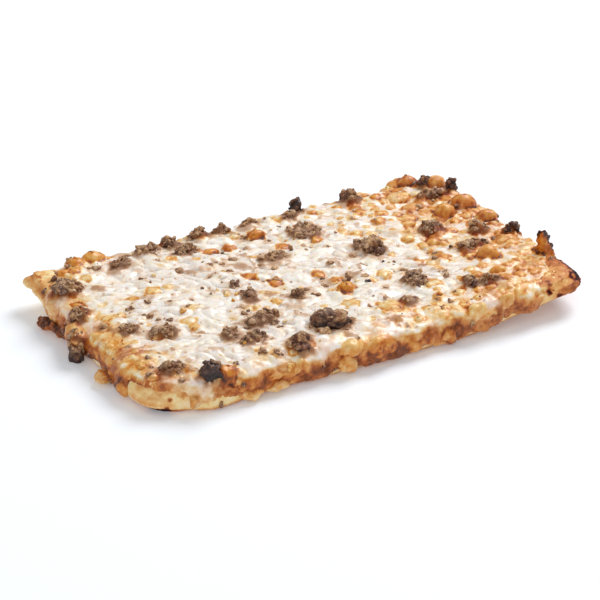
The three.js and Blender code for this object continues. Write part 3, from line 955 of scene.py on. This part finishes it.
def bitPlaces():
    # The listed bits, then seeded ones, thickest in patches
    draw = np.random.default_rng(11)
    found = list(bits)
    while len(found) < len(bits) + seededBits["count"]:
        x, y = anyPlace(draw, seededBits)
        size = anySize(draw, seededBits, 2.4)
        patch = 0.5 + 1.3 * float(grain([[x, y, 0.0]], 16, 2, 71)[0])
        thick = 1.0 - 0.45 * smoothStep((x - 50) / 30)
        if draw.random() < patch * thick:
            found.append((x, y, size))
    return found


def buriedBits():
    # Bits of meat that show brown through the cheese over them: place, size and strength
    draw = np.random.default_rng(83)
    found = [(-76, -63, 6.0, 0.35), (-70, -62, 4.0, 0.3)]
    while len(found) < buried["count"]:
        x, y = anyPlace(draw, buried)
        patch = 0.4 + 1.6 * float(grain([[x, y, 0.0]], 15, 2, 77)[0])
        if draw.random() < patch:
            found.append((x, y, anySize(draw, buried), draw.uniform(0.2, 0.6)))
    return found


def topRelief(points, brown):
    # Melted shreds: puffed and creased where the cheese is white, calmer between the browned bubbles
    x, y, z = points.T
    along, across = turned(x, y, cheese["shredTurn"])
    along = along + 2.0 * grain(points, 15, 2, 3)
    across = across + 2.5 * grain(points, 14, 2, 6)
    shreds = np.column_stack([along / cheese["shredStretch"], across, z * 0])
    puffed = 0.95 * (puffs(shreds, 7.0, 1) - 0.45) + 0.5 * (puffs(shreds, 3.4, 8) - 0.45)
    strands = np.column_stack([along / 4.5, across, z * 0])
    stringy = 0.5 - 2.2 * np.abs(grain(strands, 2.6, 1, 14))
    stringy *= smoothStep(0.4 + 1.6 * grain(points, 13, 1, 19))
    soft = 0.35 * grain(points, 9, 2, 12) + 0.9 * grain(points, 24, 2, 16)
    white = 0.95 * puffed + 0.25 * stringy + soft
    return mix(white, 0.6 * puffed + soft + 0.15 * grain(points, 2.6, 2, 21), smoothStep(brown))


def sideRelief(points):
    # The cheese that ran down and set: folds, puffs and hanging threads
    x, y, z = points.T
    hanging = np.column_stack([x, y, z / 1.8])
    folds = 1.1 * grain(hanging, 8, 2, 15) + 0.25 * grain(hanging, 2.4, 2, 18)
    return folds + 0.5 * (puffs(points, 8.0, 4) - 0.4) + 0.15 * (puffs(points, 3.0, 7) - 0.4)


def raiseBubbles(points, normals, level, outside):
    # Lobes and bubbles stand out of the sheet. Gives how brown they are, and how brown it is at their feet
    x, y = points.T[:2]
    baked = np.zeros(len(x))
    foot = np.zeros(len(x))
    sag = 1.5 * np.column_stack([grain(points, 5, 2, seed) for seed in (92, 94, 96)])
    for *middle, long, deep, tall, brownness in roundTheSides() + sideLobes:
        inside, moved = lumpReach(points, normals, middle, (long, deep, tall), 0.5, sag)
        keep = outside[inside]
        points[inside[keep]] = moved[keep]
        baked[inside[keep]] = np.maximum(baked[inside[keep]], brownness)
    everyBubble = bubbles + smallBubbles()
    everyBubble += fineBubbles(everyBubble)
    lowBubbles = flatBubbles()
    draw = np.random.default_rng(19)
    uneven = 1 + 0.45 * grain(points, 3.2, 2, 27)
    warp = np.column_stack([grain(points, 4, 2, seed) for seed in (62, 66)] + [np.zeros(len(x))])
    top = (level > 0.2) & outside
    for bubble in lowBubbles + everyBubble:
        bubbleX, bubbleY, width, brownness = bubble
        middle = (bubbleX, bubbleY, float(surfaceHeight(bubbleX, bubbleY)) - 0.1 * width)
        rise = draw.uniform(0.42, 0.6)
        if bubble in lowBubbles:
            rise = 0.42
        elif width > 7.5 and brownness > 0.6:
            rise = 0.9 if width < 9.5 else 1.1
        size = (width * draw.uniform(0.9, 1.25), width * draw.uniform(0.72, 1.0), width * rise)
        distance = np.hypot(x - bubbleX, y - bubbleY) / (width / 2) * uneven
        foot = np.maximum(foot, smoothStep(1 - np.abs(distance - 1.0) / 0.3) * top * brownness)
        smooth = 0.6 if width > 9.4 else 0.9 if brownness > 0.8 else 1.3
        inside, moved = lumpReach(points, normals, middle, size, warp=smooth * warp)
        keep = top[inside]
        points[inside[keep]] = moved[keep]
        dome = smoothStep((1.12 - distance) / 0.2) * top * (0.8 + 0.3 * np.clip(distance, 0, 1) ** 2)
        baked = np.maximum(baked, dome * brownness)
    for crater in craters:
        distance = np.hypot(x - crater["x"], y - crater["y"]) / (crater["width"] / 2)
        ridge = np.exp(-(((distance - 0.85) / 0.2) ** 2)) - 0.9 * smoothStep((0.75 - distance) / 0.3)
        points[:, 2] += ridge * outside
        rim = 0.6 * smoothStep((1.15 - distance) / 0.1) + 0.25 * smoothStep((0.7 - distance) / 0.3)
        baked = np.maximum(baked, rim)
    return baked, foot


def takeJuiceAndShade(points, level, outside, baked):
    # The cheese climbs a little up each crumb, is stained by meat and darkened by painted contact shade
    # beside it. Gives how much
    x, y = points.T[:2]
    gap = crumbGap(points, outside & (level > -0.6))
    uneven = np.clip(1 + 1.4 * grain(points, 3.5, 2, 17), 0.15, 2)
    points[:, 2] += cheese["climb"] * uneven * np.exp(-gap / 0.9) * outside * smoothStep(level * 4)
    # Darker next to each crumb: meat juice and a painted contact shadow
    stainAndShade = cheese["juiceAndShade"] * np.exp(-((gap / (cheese["juiceAndShadeReach"] * uneven)) ** 2))
    rise = crumbRise(points, (level > 0.5) & outside)
    skirt = smoothStep((1.6 * grain(points, 3.2, 2, 73) + 0.6 - 0.3 * rise) / 0.2) * (rise > 0)
    points[:, 2] += (rise + 0.3) * skirt
    stainAndShade = np.maximum(stainAndShade, skirt * np.clip(0.62 + 0.05 * rise + 0.35 * grain(points, 1.8, 2, 79), 0, 1))
    ragged = 1 + 1.1 * grain(points, 2.6, 2, 81)
    for bitX, bitY, size, strength in buriedBits():
        reached = np.maximum(np.abs(x - bitX), np.abs(y - bitY)) < 1.6 * size
        near = np.flatnonzero(reached & (level > -0.7) & outside)
        along, across = turned(x[near] - bitX, y[near] - bitY, cheese["shredTurn"])
        distance = np.hypot(along / 1.8, across) / (size / 2) * ragged[near]
        stainAndShade[near] = np.maximum(stainAndShade[near], strength * smoothStep((1.2 - distance) / 0.7))
        points[near, 2] += 0.1 * size * smoothStep(1.2 - distance)
    # A brown halo round each bit: meat juice and painted contact shade
    for bitX, bitY, size in bitPlaces():
        stainAndShade = np.maximum(stainAndShade, 0.35 * smoothStep(1.5 - np.hypot(x - bitX, y - bitY) / size * 1.5 * ragged))
    return stainAndShade * (1 - 0.85 * smoothStep((baked - 0.6) / 0.2))


def makeCheese():
    mesh = meshFrom(sheetGrid(), "cheeseLayer")
    u, v = getPoints(mesh)[:, :2].T
    level, inner = getMask(mesh, "level"), getMask(mesh, "inner")
    outside = inner < 0.5
    points = sheetShape(u, v, level, inner)
    setPoints(mesh, points)
    normals = getNormals(mesh)
    x, y, z = points.T
    side = np.clip(1 - normals[:, 2], 0, 1) * outside
    brown = brownField(x, y)
    relief = mix(topRelief(points, brown), sideRelief(points), smoothStep(side * 1.5))
    relief *= smoothStep((cover(x, y) - 0.1) / 0.5)
    points += normals * (relief * outside)[:, None]
    setPoints(mesh, points)
    normals = getNormals(mesh)
    baked, foot = raiseBubbles(points, normals, level, outside)
    blistered = 0.3 * grain(points, 2.4, 2, 29) + 0.3 * (puffs(points, 3.0, 35) - 0.4)
    blistered += 0.35 * grain(np.column_stack([x, y, z / 1.4]), 3.6, 2, 39) * side
    points += normals * (blistered * np.clip(baked * 2 + side, 0, 1) * outside)[:, None]
    stainAndShade = takeJuiceAndShade(points, level, outside, baked)
    setPoints(mesh, points)
    relax(mesh, 1, 0.35)
    points = getPoints(mesh)
    fine = 0.09 * grain(points, 1.6, 2, 31) + 0.07 * (puffs(points, 1.9, 33) - 0.4)
    points = pushOut(mesh, points, fine * outside)

    # Browning with painted shade from the hollows, pink flush, and painted shade in the creases
    fineHollow = hollows(mesh, 3, 0.12)
    broadHollow = hollows(mesh, 12, 0.45)
    patches = grain(points, 9, 2, 41)
    nubs = puffs(points * [1, 1, 0], 5.5, 44)
    cream = 0.04 + 0.06 * smoothStep(0.4 + 1.9 * grain(points, 6, 2, 46))
    cream += 0.17 * smoothStep((nubs - 0.6) / 0.5) * smoothStep(0.45 + 1.8 * grain(points, 14, 2, 48))
    field = brown * (0.14 + 0.26 * patches) + 0.12 * toasted(x, y) * (1 + 2.2 * grain(points, 5, 2, 57))
    field += 0.14 * smoothStep((-x - 90 + 5 * grain(points, 7, 2, 91)) / 12)
    # Browner in the hollows and paler on the rises: painted shade and light
    browningAndShade = cream + field + (0.03 + 0.1 * brown) * (broadHollow + 0.7 * fineHollow)
    drop = np.clip((surfaceHeight(x, y) - z) / 12, 0, 1)
    paleEnd = nearAny(paleSpots, x, y)
    sideBrownAndShade = 0.72 + 0.04 * smoothStep((-x - 96) / 8) - 0.06 * smoothStep(x / 50)
    sideBrownAndShade -= 0.12 * smoothStep((0.4 - drop) / 0.4)
    sideBrownAndShade += 0.17 * patches + 0.16 * grain(points, 6, 4, 47) - 0.3 * paleEnd
    # Painted shade: browner in the hollows of the sides
    sideBrownAndShade += 0.06 * np.maximum(broadHollow, -0.5) + 0.04 * np.maximum(fineHollow, -0.4)
    onSide = smoothStep((side - 0.27 + 0.3 * grain(points, 8, 2, 61)) / 0.35)
    browningAndShade = mix(browningAndShade, np.clip(sideBrownAndShade, 0.28, 0.84), onSide)
    lumped = baked > 0
    # Painted shade from the hollows, with mottling, and brown spots on the most baked lumps
    shaded = 0.12 * np.maximum(broadHollow, -0.2) + 0.1 * np.maximum(fineHollow, -0.3)
    shaded += 0.12 * grain(points, 2.5, 2, 53)
    shaded += 0.12 * onSide * grain(points, 5, 2, 59)
    shaded += 0.16 * smoothStep((grain(points, 2.6, 2, 87) - 0.2) / 0.3) * smoothStep((baked - 0.5) / 0.3)
    riper = 0.07 * smoothStep((x - 40) / 20) * (1 - onSide) + 0.08 * onSide
    browningAndShade = np.where(lumped, mix(browningAndShade, 0.16 + 0.64 * baked + shaded + riper, 0.85), browningAndShade)
    browningAndShade += 0.13 * foot * (1 - np.clip(baked, 0, 1))
    setMask(mesh, "browningAndShade", np.clip(browningAndShade, 0, 1))
    blush = smoothStep(0.45 + 1.4 * grain(points, 11, 2, 51)) * (0.35 + 0.6 * brown)
    share = np.where(lumped, 0.06 + 0.2 * smoothStep((x - 45) / 25), 1.0)
    tanned = np.clip(blush + 0.12, 0, 1) * share * (1 - 0.7 * onSide)
    setMask(mesh, "blush", tanned + onSide * (0.2 + 0.2 * smoothStep(x / 60)))
    # Painted shade: greyish mauve in the hollows of the white top, less on the lumps, none on the sides,
    # fading out where the cheese is browned or stained
    creaseShade = np.clip(0.35 * fineHollow + 0.3 * broadHollow - 0.1, 0, 1) * (1 - onSide)
    creaseShade *= np.where(lumped, 0.3, 1.0)
    creaseShade *= (1 - np.clip(1.4 * brown + toasted(x, y), 0, 1)) * (1 - smoothStep(2 * stainAndShade))
    setMask(mesh, "creaseShade", np.clip(creaseShade, 0, 0.75))
    setMask(mesh, "stainAndShade", np.clip(stainAndShade, 0, 1))
    mesh.attributes.remove(mesh.attributes["level"])
    mesh.attributes.remove(mesh.attributes["inner"])
    return mesh


# Caramelised fringe that curls out under the left end
fringe = {"x": -108.5, "front": 15, "back": 38, "lowest": 3.6, "rise": 4.5, "knobs": 9, "voxel": 0.45}


def ovalAt(bm, place, size, level):
    half = [side / 2 for side in size]
    bmesh.ops.create_icosphere(
        bm, subdivisions=level, radius=1, matrix=Matrix.Translation(place) @ Matrix.Diagonal((*half, 1))
    )


def fused(mesh, voxel):
    # The pieces of a mesh made into one skin
    solid = addObject(mesh.name, mesh)
    remesh = solid.modifiers.new("oneSkin", "REMESH")
    remesh.mode = "VOXEL"
    remesh.voxel_size = voxel
    whole = bpy.data.meshes.new_from_object(solid.evaluated_get(bpy.context.evaluated_depsgraph_get()))
    bpy.data.objects.remove(solid)
    return whole


def makeFringe():
    bm = bmesh.new()
    for i in range(fringe["knobs"]):
        along = i / (fringe["knobs"] - 1)
        x = fringe["x"] + 1.2 * math.sin(5 * along)
        y = mix(fringe["front"], fringe["back"], along)
        z = fringe["lowest"] + fringe["rise"] * (1 - along) ** 2 + 0.5 * math.cos(9 * along)
        ovalAt(bm, (x, y, z), (5.2 + 0.8 * math.cos(14 * along), 6.5, 4.8), 3)
    mesh = fused(meshFrom(bm, "fringeKnobs"), fringe["voxel"])
    mesh.name = "cheeseFringe"
    relax(mesh, 3)
    points = getPoints(mesh)
    relief = 0.9 * (puffs(points, 3.6, 3) - 0.4) + 0.5 * (puffs(points, 1.8, 5) - 0.4)
    points = pushOut(mesh, points, relief + 0.2 * grain(points, 1.0, 2, 1))
    hollow = hollows(mesh, 5, 0.25)
    under = smoothStep(-getNormals(mesh)[:, 2] - 0.1)
    # Browner in its hollows, which is painted shade, and paler underneath
    browningAndShade = 0.86 + 0.16 * grain(points, 4, 2, 2) + 0.12 * hollow
    setMask(mesh, "browningAndShade", np.clip(mix(browningAndShade, 0.5 + 0.1 * hollow, 0.8 * under), 0, 1))
    setMask(mesh, "blush", np.full(len(points), 0.3))
    return mesh


# Thin flake of crisp cheese that stands up at the right end
flake = {
    "place": (105.5, -35, 11),
    "width": 8,
    "height": 17,
    "thickness": 2,
    "taper": 0.45,
    "thinning": 0.3,
    "lean": 4.5,
    "cup": 3,
    "wave": 1.2,
}


def makeFlake():
    mesh = meshFrom(subdividedBox((30, 6, 60)), "crispFlake")
    corners = getPoints(mesh)
    side, through, up = corners[:, 0], corners[:, 1], (corners[:, 2] + 1) / 2
    thin = (1 - 0.65 * np.abs(side) ** 5) * (1 - 0.65 * up**8)
    x = side * flake["width"] / 2 * (1 - flake["taper"] * up**2) - flake["lean"] * up
    y = through * flake["thickness"] / 2 * (1 - flake["thinning"] * up) * thin
    y += flake["cup"] * (side / 2) ** 2 + flake["wave"] * np.sin(3 * up)
    torn = np.column_stack([side * 2, 0 * side, up * flake["height"]])
    x += 0.9 * side * np.abs(side) * grain(torn, 2.2, 3, 5)
    z = flake["height"] * (up - 0.16 * up**4 * np.clip(0.5 + 1.6 * grain(torn, 1.4, 2, 8), 0, 1))
    points = np.column_stack([x, y, z]) + flake["place"]
    setPoints(mesh, points)
    blisters = 0.7 * (puffs(points, 3.2, 2) - 0.4) + 0.25 * grain(points, 1.1, 2, 6)
    points = pushOut(mesh, points, blisters * 0.6)
    edge = smoothStep((side - 0.45 + 0.4 * grain(points, 2.5, 2, 3)) / 0.5)
    tip = smoothStep((up - 0.8 + 0.15 * grain(points, 2, 2, 9)) / 0.2)
    browningAndShade = 0.6 + 0.14 * grain(points, 4, 2, 1) + 0.5 * np.maximum(edge * smoothStep(up * 1.6), 0.8 * tip)
    setMask(mesh, "browningAndShade", np.clip(browningAndShade, 0, 1))
    return mesh


# Grains on the crumbs, sized by the crumb
grains = {"each": 12, "spread": 1.18, "smallest": 0.26, "largest": 0.6}
# Bits on the sides
sideBits = {"count": 70, "smallest": 1.2, "largest": 3.2}
# Chips of toasted cheese, specks and burnt knobs: place and size
chips = [
    (-39, 2, 4.4), (-35, -2, 3.2), (-94, 36, 3), (-97, 33, 2.6), (-43, -63, 3.4), (77.8, 60, 3.4),
    (-64, -6, 3), (-40, 7, 2.2), (-30, 20, 2.6), (8, -13, 2.6), (17, -16, 2.8), (-58, 33, 2.4),
    (27, 42, 2.4), (60, -38, 3),
]
seededChips = {"count": 70, "smallest": 0.8, "largest": 2.4, "area": [(-106, 104), (-60, 61)]}
specks = [
    (8, 28, 1.5), (-31, -19, 1.5), (-38, -17, 1.5), (-21, 38, 1.5), (-44, 6, 1.5), (-45, 12, 1.5),
    (-29, 9, 1.5), (6, 2, 1.5), (36, -6, 1.5), (70, -8, 1.5),
]
seededSpecks = {"count": 25, "smallest": 0.4, "largest": 1.2, "area": [(-107, 106), (-61, 62)]}
burntKnobs = [
    (40, 3.4, 4.6), (6.7, 24.3, 2.2), (-34.3, -27.5, 2.4), (4.6, -6.7, 2.2), (14, -13.6, 2.2),
    (20.7, -18.8, 2.4), (-101.6, 33.2, 4.4), (-98.6, 49.8, 3.2), (-105.5, 46, 2.2), (58, -46.5, 3.4),
]


def dropped(tree, x, y):
    # Where something dropped there comes to lie, and which way is out
    place, out = tree.ray_cast(Vector((x, y, overhead)), Vector((0, 0, -1)))[:2]
    return (place, out) if place else None


def droppedOn(tree, spots):
    landed = [(dropped(tree, x, y), size) for x, y, size in spots]
    return [(*found, size) for found, size in landed if found]


def sideLanding(draw):
    # The same for something stuck to a side, which it reaches from outside
    along = draw.uniform(-0.96, 0.96)
    u, v = outlineSpot(along, draw.integers(4))
    far, near = (Vector((*planSpot(u, v, grow), 0)) for grow in (12, 0))
    height = draw.uniform(3, 15)
    place, out = cheeseTree.ray_cast(far + Vector((0, 0, height)), (near - far).normalized(), 16)[:2]
    return (place, out) if place else None


def makeBits(name, spots, seed, spike=0.0):
    # Small craggy lumps, each half sunk where it lies: spots hold the place, the way out and the size
    draw = np.random.default_rng(seed)
    bm = bmesh.new()
    sizes = []
    starts = []
    for place, out, size in spots:
        starts.append(len(bm.verts))
        tall = draw.uniform(0.4, 0.75) + spike * draw.random() ** 3
        half = (size / 2, size / 2 * draw.uniform(0.6, 1.0), size / 2 * tall, 1)
        stand = out.to_track_quat("Z", "Y").to_matrix().to_4x4()
        turn = Matrix.Rotation(draw.uniform(0, fullTurn), 4, "Z")
        matrix = Matrix.Translation(place - out * size * 0.08) @ stand @ turn @ Matrix.Diagonal(half)
        level = 4 if size > 3.2 else 3 if size > 1.1 else 2
        bmesh.ops.create_icosphere(bm, subdivisions=level, radius=1, matrix=matrix)
        sizes += [size] * (len(bm.verts) - starts[-1])
    mesh = meshFrom(bm, name)
    points, normals = getPoints(mesh), getNormals(mesh)
    sizes = np.array(sizes)
    shaped = grain(points / sizes[:, None], 0.55, 2, seed)
    points += normals * (sizes * 0.3 * shaped)[:, None]
    rough = grain(points, 0.9, 2, seed + 1)
    points += normals * (0.12 * rough)[:, None]
    points[:, 2] = np.maximum(points[:, 2], justAbove)
    setPoints(mesh, points)
    own = np.zeros(len(points))
    rust = np.zeros(len(points))
    for start, end in zip(starts, starts[1:] + [len(points)]):
        own[start:end] = draw.uniform(-0.14, 0.2)
        rust[start:end] = draw.random()
    # Painted light and shade: lighter where facing up and on the bulges, darker in the dips, with a tone of
    # its own for each bit
    up = getNormals(mesh)[:, 2]
    setMask(mesh, "toneAndShading", np.clip(0.56 + 0.2 * up + 0.3 * shaped + 0.2 * rough + own, 0, 1))
    setMask(mesh, "rust", rust)
    return mesh


def meatSpots():
    draw = np.random.default_rng(31)
    found = droppedOn(restTree, bitPlaces())
    for _ in range(sideBits["count"]):
        landed = sideLanding(draw)
        if landed:
            found.append((*landed, draw.uniform(sideBits["smallest"], sideBits["largest"])))
    return found


def grainSpots(nodes, seed):
    # Grains of mince on each crumb and against it, so that it is ragged
    draw = np.random.default_rng(seed)
    places = []
    for node in nodes:
        low, high = nodeBox(node)
        half = (high - low)[:2] / 2
        for _ in range(grains["each"]):
            angle, away = draw.uniform(0, fullTurn), grains["spread"] * math.sqrt(draw.random())
            x, y = (low + high)[:2] / 2 + half * away * np.array([math.cos(angle), math.sin(angle)])
            places.append((x, y, half.max() * draw.uniform(grains["smallest"], grains["largest"])))
    return droppedOn(crumbedTree, places)


def makeChips():
    # Chips of toasted cheese
    draw = np.random.default_rng(37)
    places = list(chips)
    for _ in range(seededChips["count"]):
        places.append((*anyPlace(draw, seededChips), anySize(draw, seededChips)))
        draw.random()  # keeps the next chips where they are
    mesh = makeBits("toastedChips", droppedOn(restTree, places), 41)
    # Browner where the tone is dark: painted shade facing down and in the dips, paler facing up
    toneAndShading = getMask(mesh, "toneAndShading")
    setMask(mesh, "browningAndShade", np.clip(0.95 - 0.7 * toneAndShading + 0.15 * (getMask(mesh, "rust") - 0.5), 0.2, 1))
    return mesh


def speckSpots():
    draw = np.random.default_rng(43)
    places = list(specks)
    for _ in range(seededSpecks["count"]):
        places.append((*anyPlace(draw, seededSpecks), anySize(draw, seededSpecks)))
    return droppedOn(restTree, places) + droppedOn(crumbedTree, burntKnobs)


# Floor, light and camera
studio = {
    "floorSize": 12.0,
    "keyPower": 27.0,
    "keySize": 1.1,
    "keyPlace": (1.15, 0.55, 1.4),
    "fillPower": 6.6,
    "fillSize": 1.4,
    "fillPlace": (-1.2, -1.2, 0.9),
    "skyStrength": 0.48,
    "floorGlow": 0.14,
}
photo = {
    "azimuth": -29.5,
    "elevation": 27.3,
    "distance": 1.5,
    "lookAt": (-0.8, 3.5, 1.8),
    "pixels": 600,
    "pixelsPerMillimetre": 2.2617,
}


def makeFloor():
    bm = bmesh.new()
    bmesh.ops.create_grid(bm, x_segments=1, y_segments=1, size=studio["floorSize"] / 2)
    mesh = meshFrom(bm, "floor")
    # Pale matt table: lit a little by itself, so that it goes white behind the piece
    material, tree = newMaterial("paleTable")
    mesh.materials.append(finished(material, {
        "Base Color": linear("#EDF2F8"),
        "Roughness": 0.9,
        "Specular IOR Level": 0.1,
        "Emission Color": linear("#FFFFFF"),
        "Emission Strength": studio["floorGlow"],
    }))
    floor = addObject("floor", mesh)


def aimed(data, place, ahead):
    # A light or a camera that looks ahead
    made = addObject(data.name, data)
    made.location = place
    made.rotation_mode = "QUATERNION"
    made.rotation_quaternion = ahead.to_track_quat("-Z", "Y")
    return made


def addLight(name, place, size, power):
    data = bpy.data.lights.new(name, "AREA")
    data.shape = "DISK"
    data.size = size
    data.energy = power
    aimed(data, place, -Vector(place))


def makeStudio():
    makeFloor()
    addLight("keyLight", studio["keyPlace"], studio["keySize"], studio["keyPower"])
    addLight("fillLight", studio["fillPlace"], studio["fillSize"], studio["fillPower"])
    world = bpy.data.worlds.new("softSky")
    world.use_nodes = True
    sky = {"Color": (1, 1, 1, 1), "Strength": studio["skyStrength"]}
    setInputs(world.node_tree, world.node_tree.nodes["Background"], sky)
    scene = bpy.context.scene
    scene.world = world
    scene.view_settings.view_transform = "Standard"


def makeCamera():
    turn, tilt = math.radians(photo["azimuth"]), math.radians(photo["elevation"])
    back = Vector((math.sin(turn) * math.cos(tilt), -math.cos(turn) * math.cos(tilt), math.sin(tilt)))
    data = bpy.data.cameras.new("photoCamera")
    data.sensor_width = 36
    data.lens = photo["pixelsPerMillimetre"] * 1000 * data.sensor_width * photo["distance"] / photo["pixels"]
    place = Vector(toMetres(np.array(photo["lookAt"]))) + back * photo["distance"]
    bpy.context.scene.camera = aimed(data, place, -back)


breadBase, shift = makeBread()
makeCamera()
makeStudio()
meatNodes = [name for name in crumbNodes() if name not in charredNodes]
meatCrumbs = makeCrumbs("meatCrumbs", meatNodes, 0.0)
charredCrumbs = makeCrumbs("charredCrumbs", charredNodes, 0.1)
crumbTree = treeOf(meatCrumbs, charredCrumbs)
mildTree = treeOf(meatCrumbs)
cheeseSheet = makeCheese()
cheeseTree = treeOf(cheeseSheet)
restTree = treeOf(cheeseSheet, breadBase)
crumbedTree = treeOf(cheeseSheet, breadBase, meatCrumbs, charredCrumbs)
meatBits = makeBits("meatBits", meatSpots(), 5)
minceGrains = makeBits("minceGrains", grainSpots(meatNodes, 59), 13, 0.3)
charredGrains = makeBits("charredGrains", grainSpots(charredNodes, 67), 17, 0.5)
charredSpecks = makeBits("charredSpecks", speckSpots(), 9, 1.6)
toastedChips = makeChips()
addPiece(breadBase, doughMaterial, ["bread_base"])
addPiece(cheeseSheet, cheeseMaterial, ["cheese_layer"])
addPiece(makeFringe(), cheeseMaterial, ["cheese_layer"])
addPiece(makeFlake(), cheeseMaterial, ["cheese_crisp"])
addPiece(meatCrumbs, meatMaterial, meatNodes)
addPiece(minceGrains, meatMaterial, meatNodes)
addPiece(charredCrumbs, charMaterial, charredNodes)
addPiece(charredGrains, charMaterial, charredNodes)
addPiece(meatBits, meatMaterial, ["cheese_layer"])
addPiece(charredSpecks, charMaterial, ["cheese_layer"])
addPiece(toastedChips, cheeseMaterial, ["cheese_layer"])
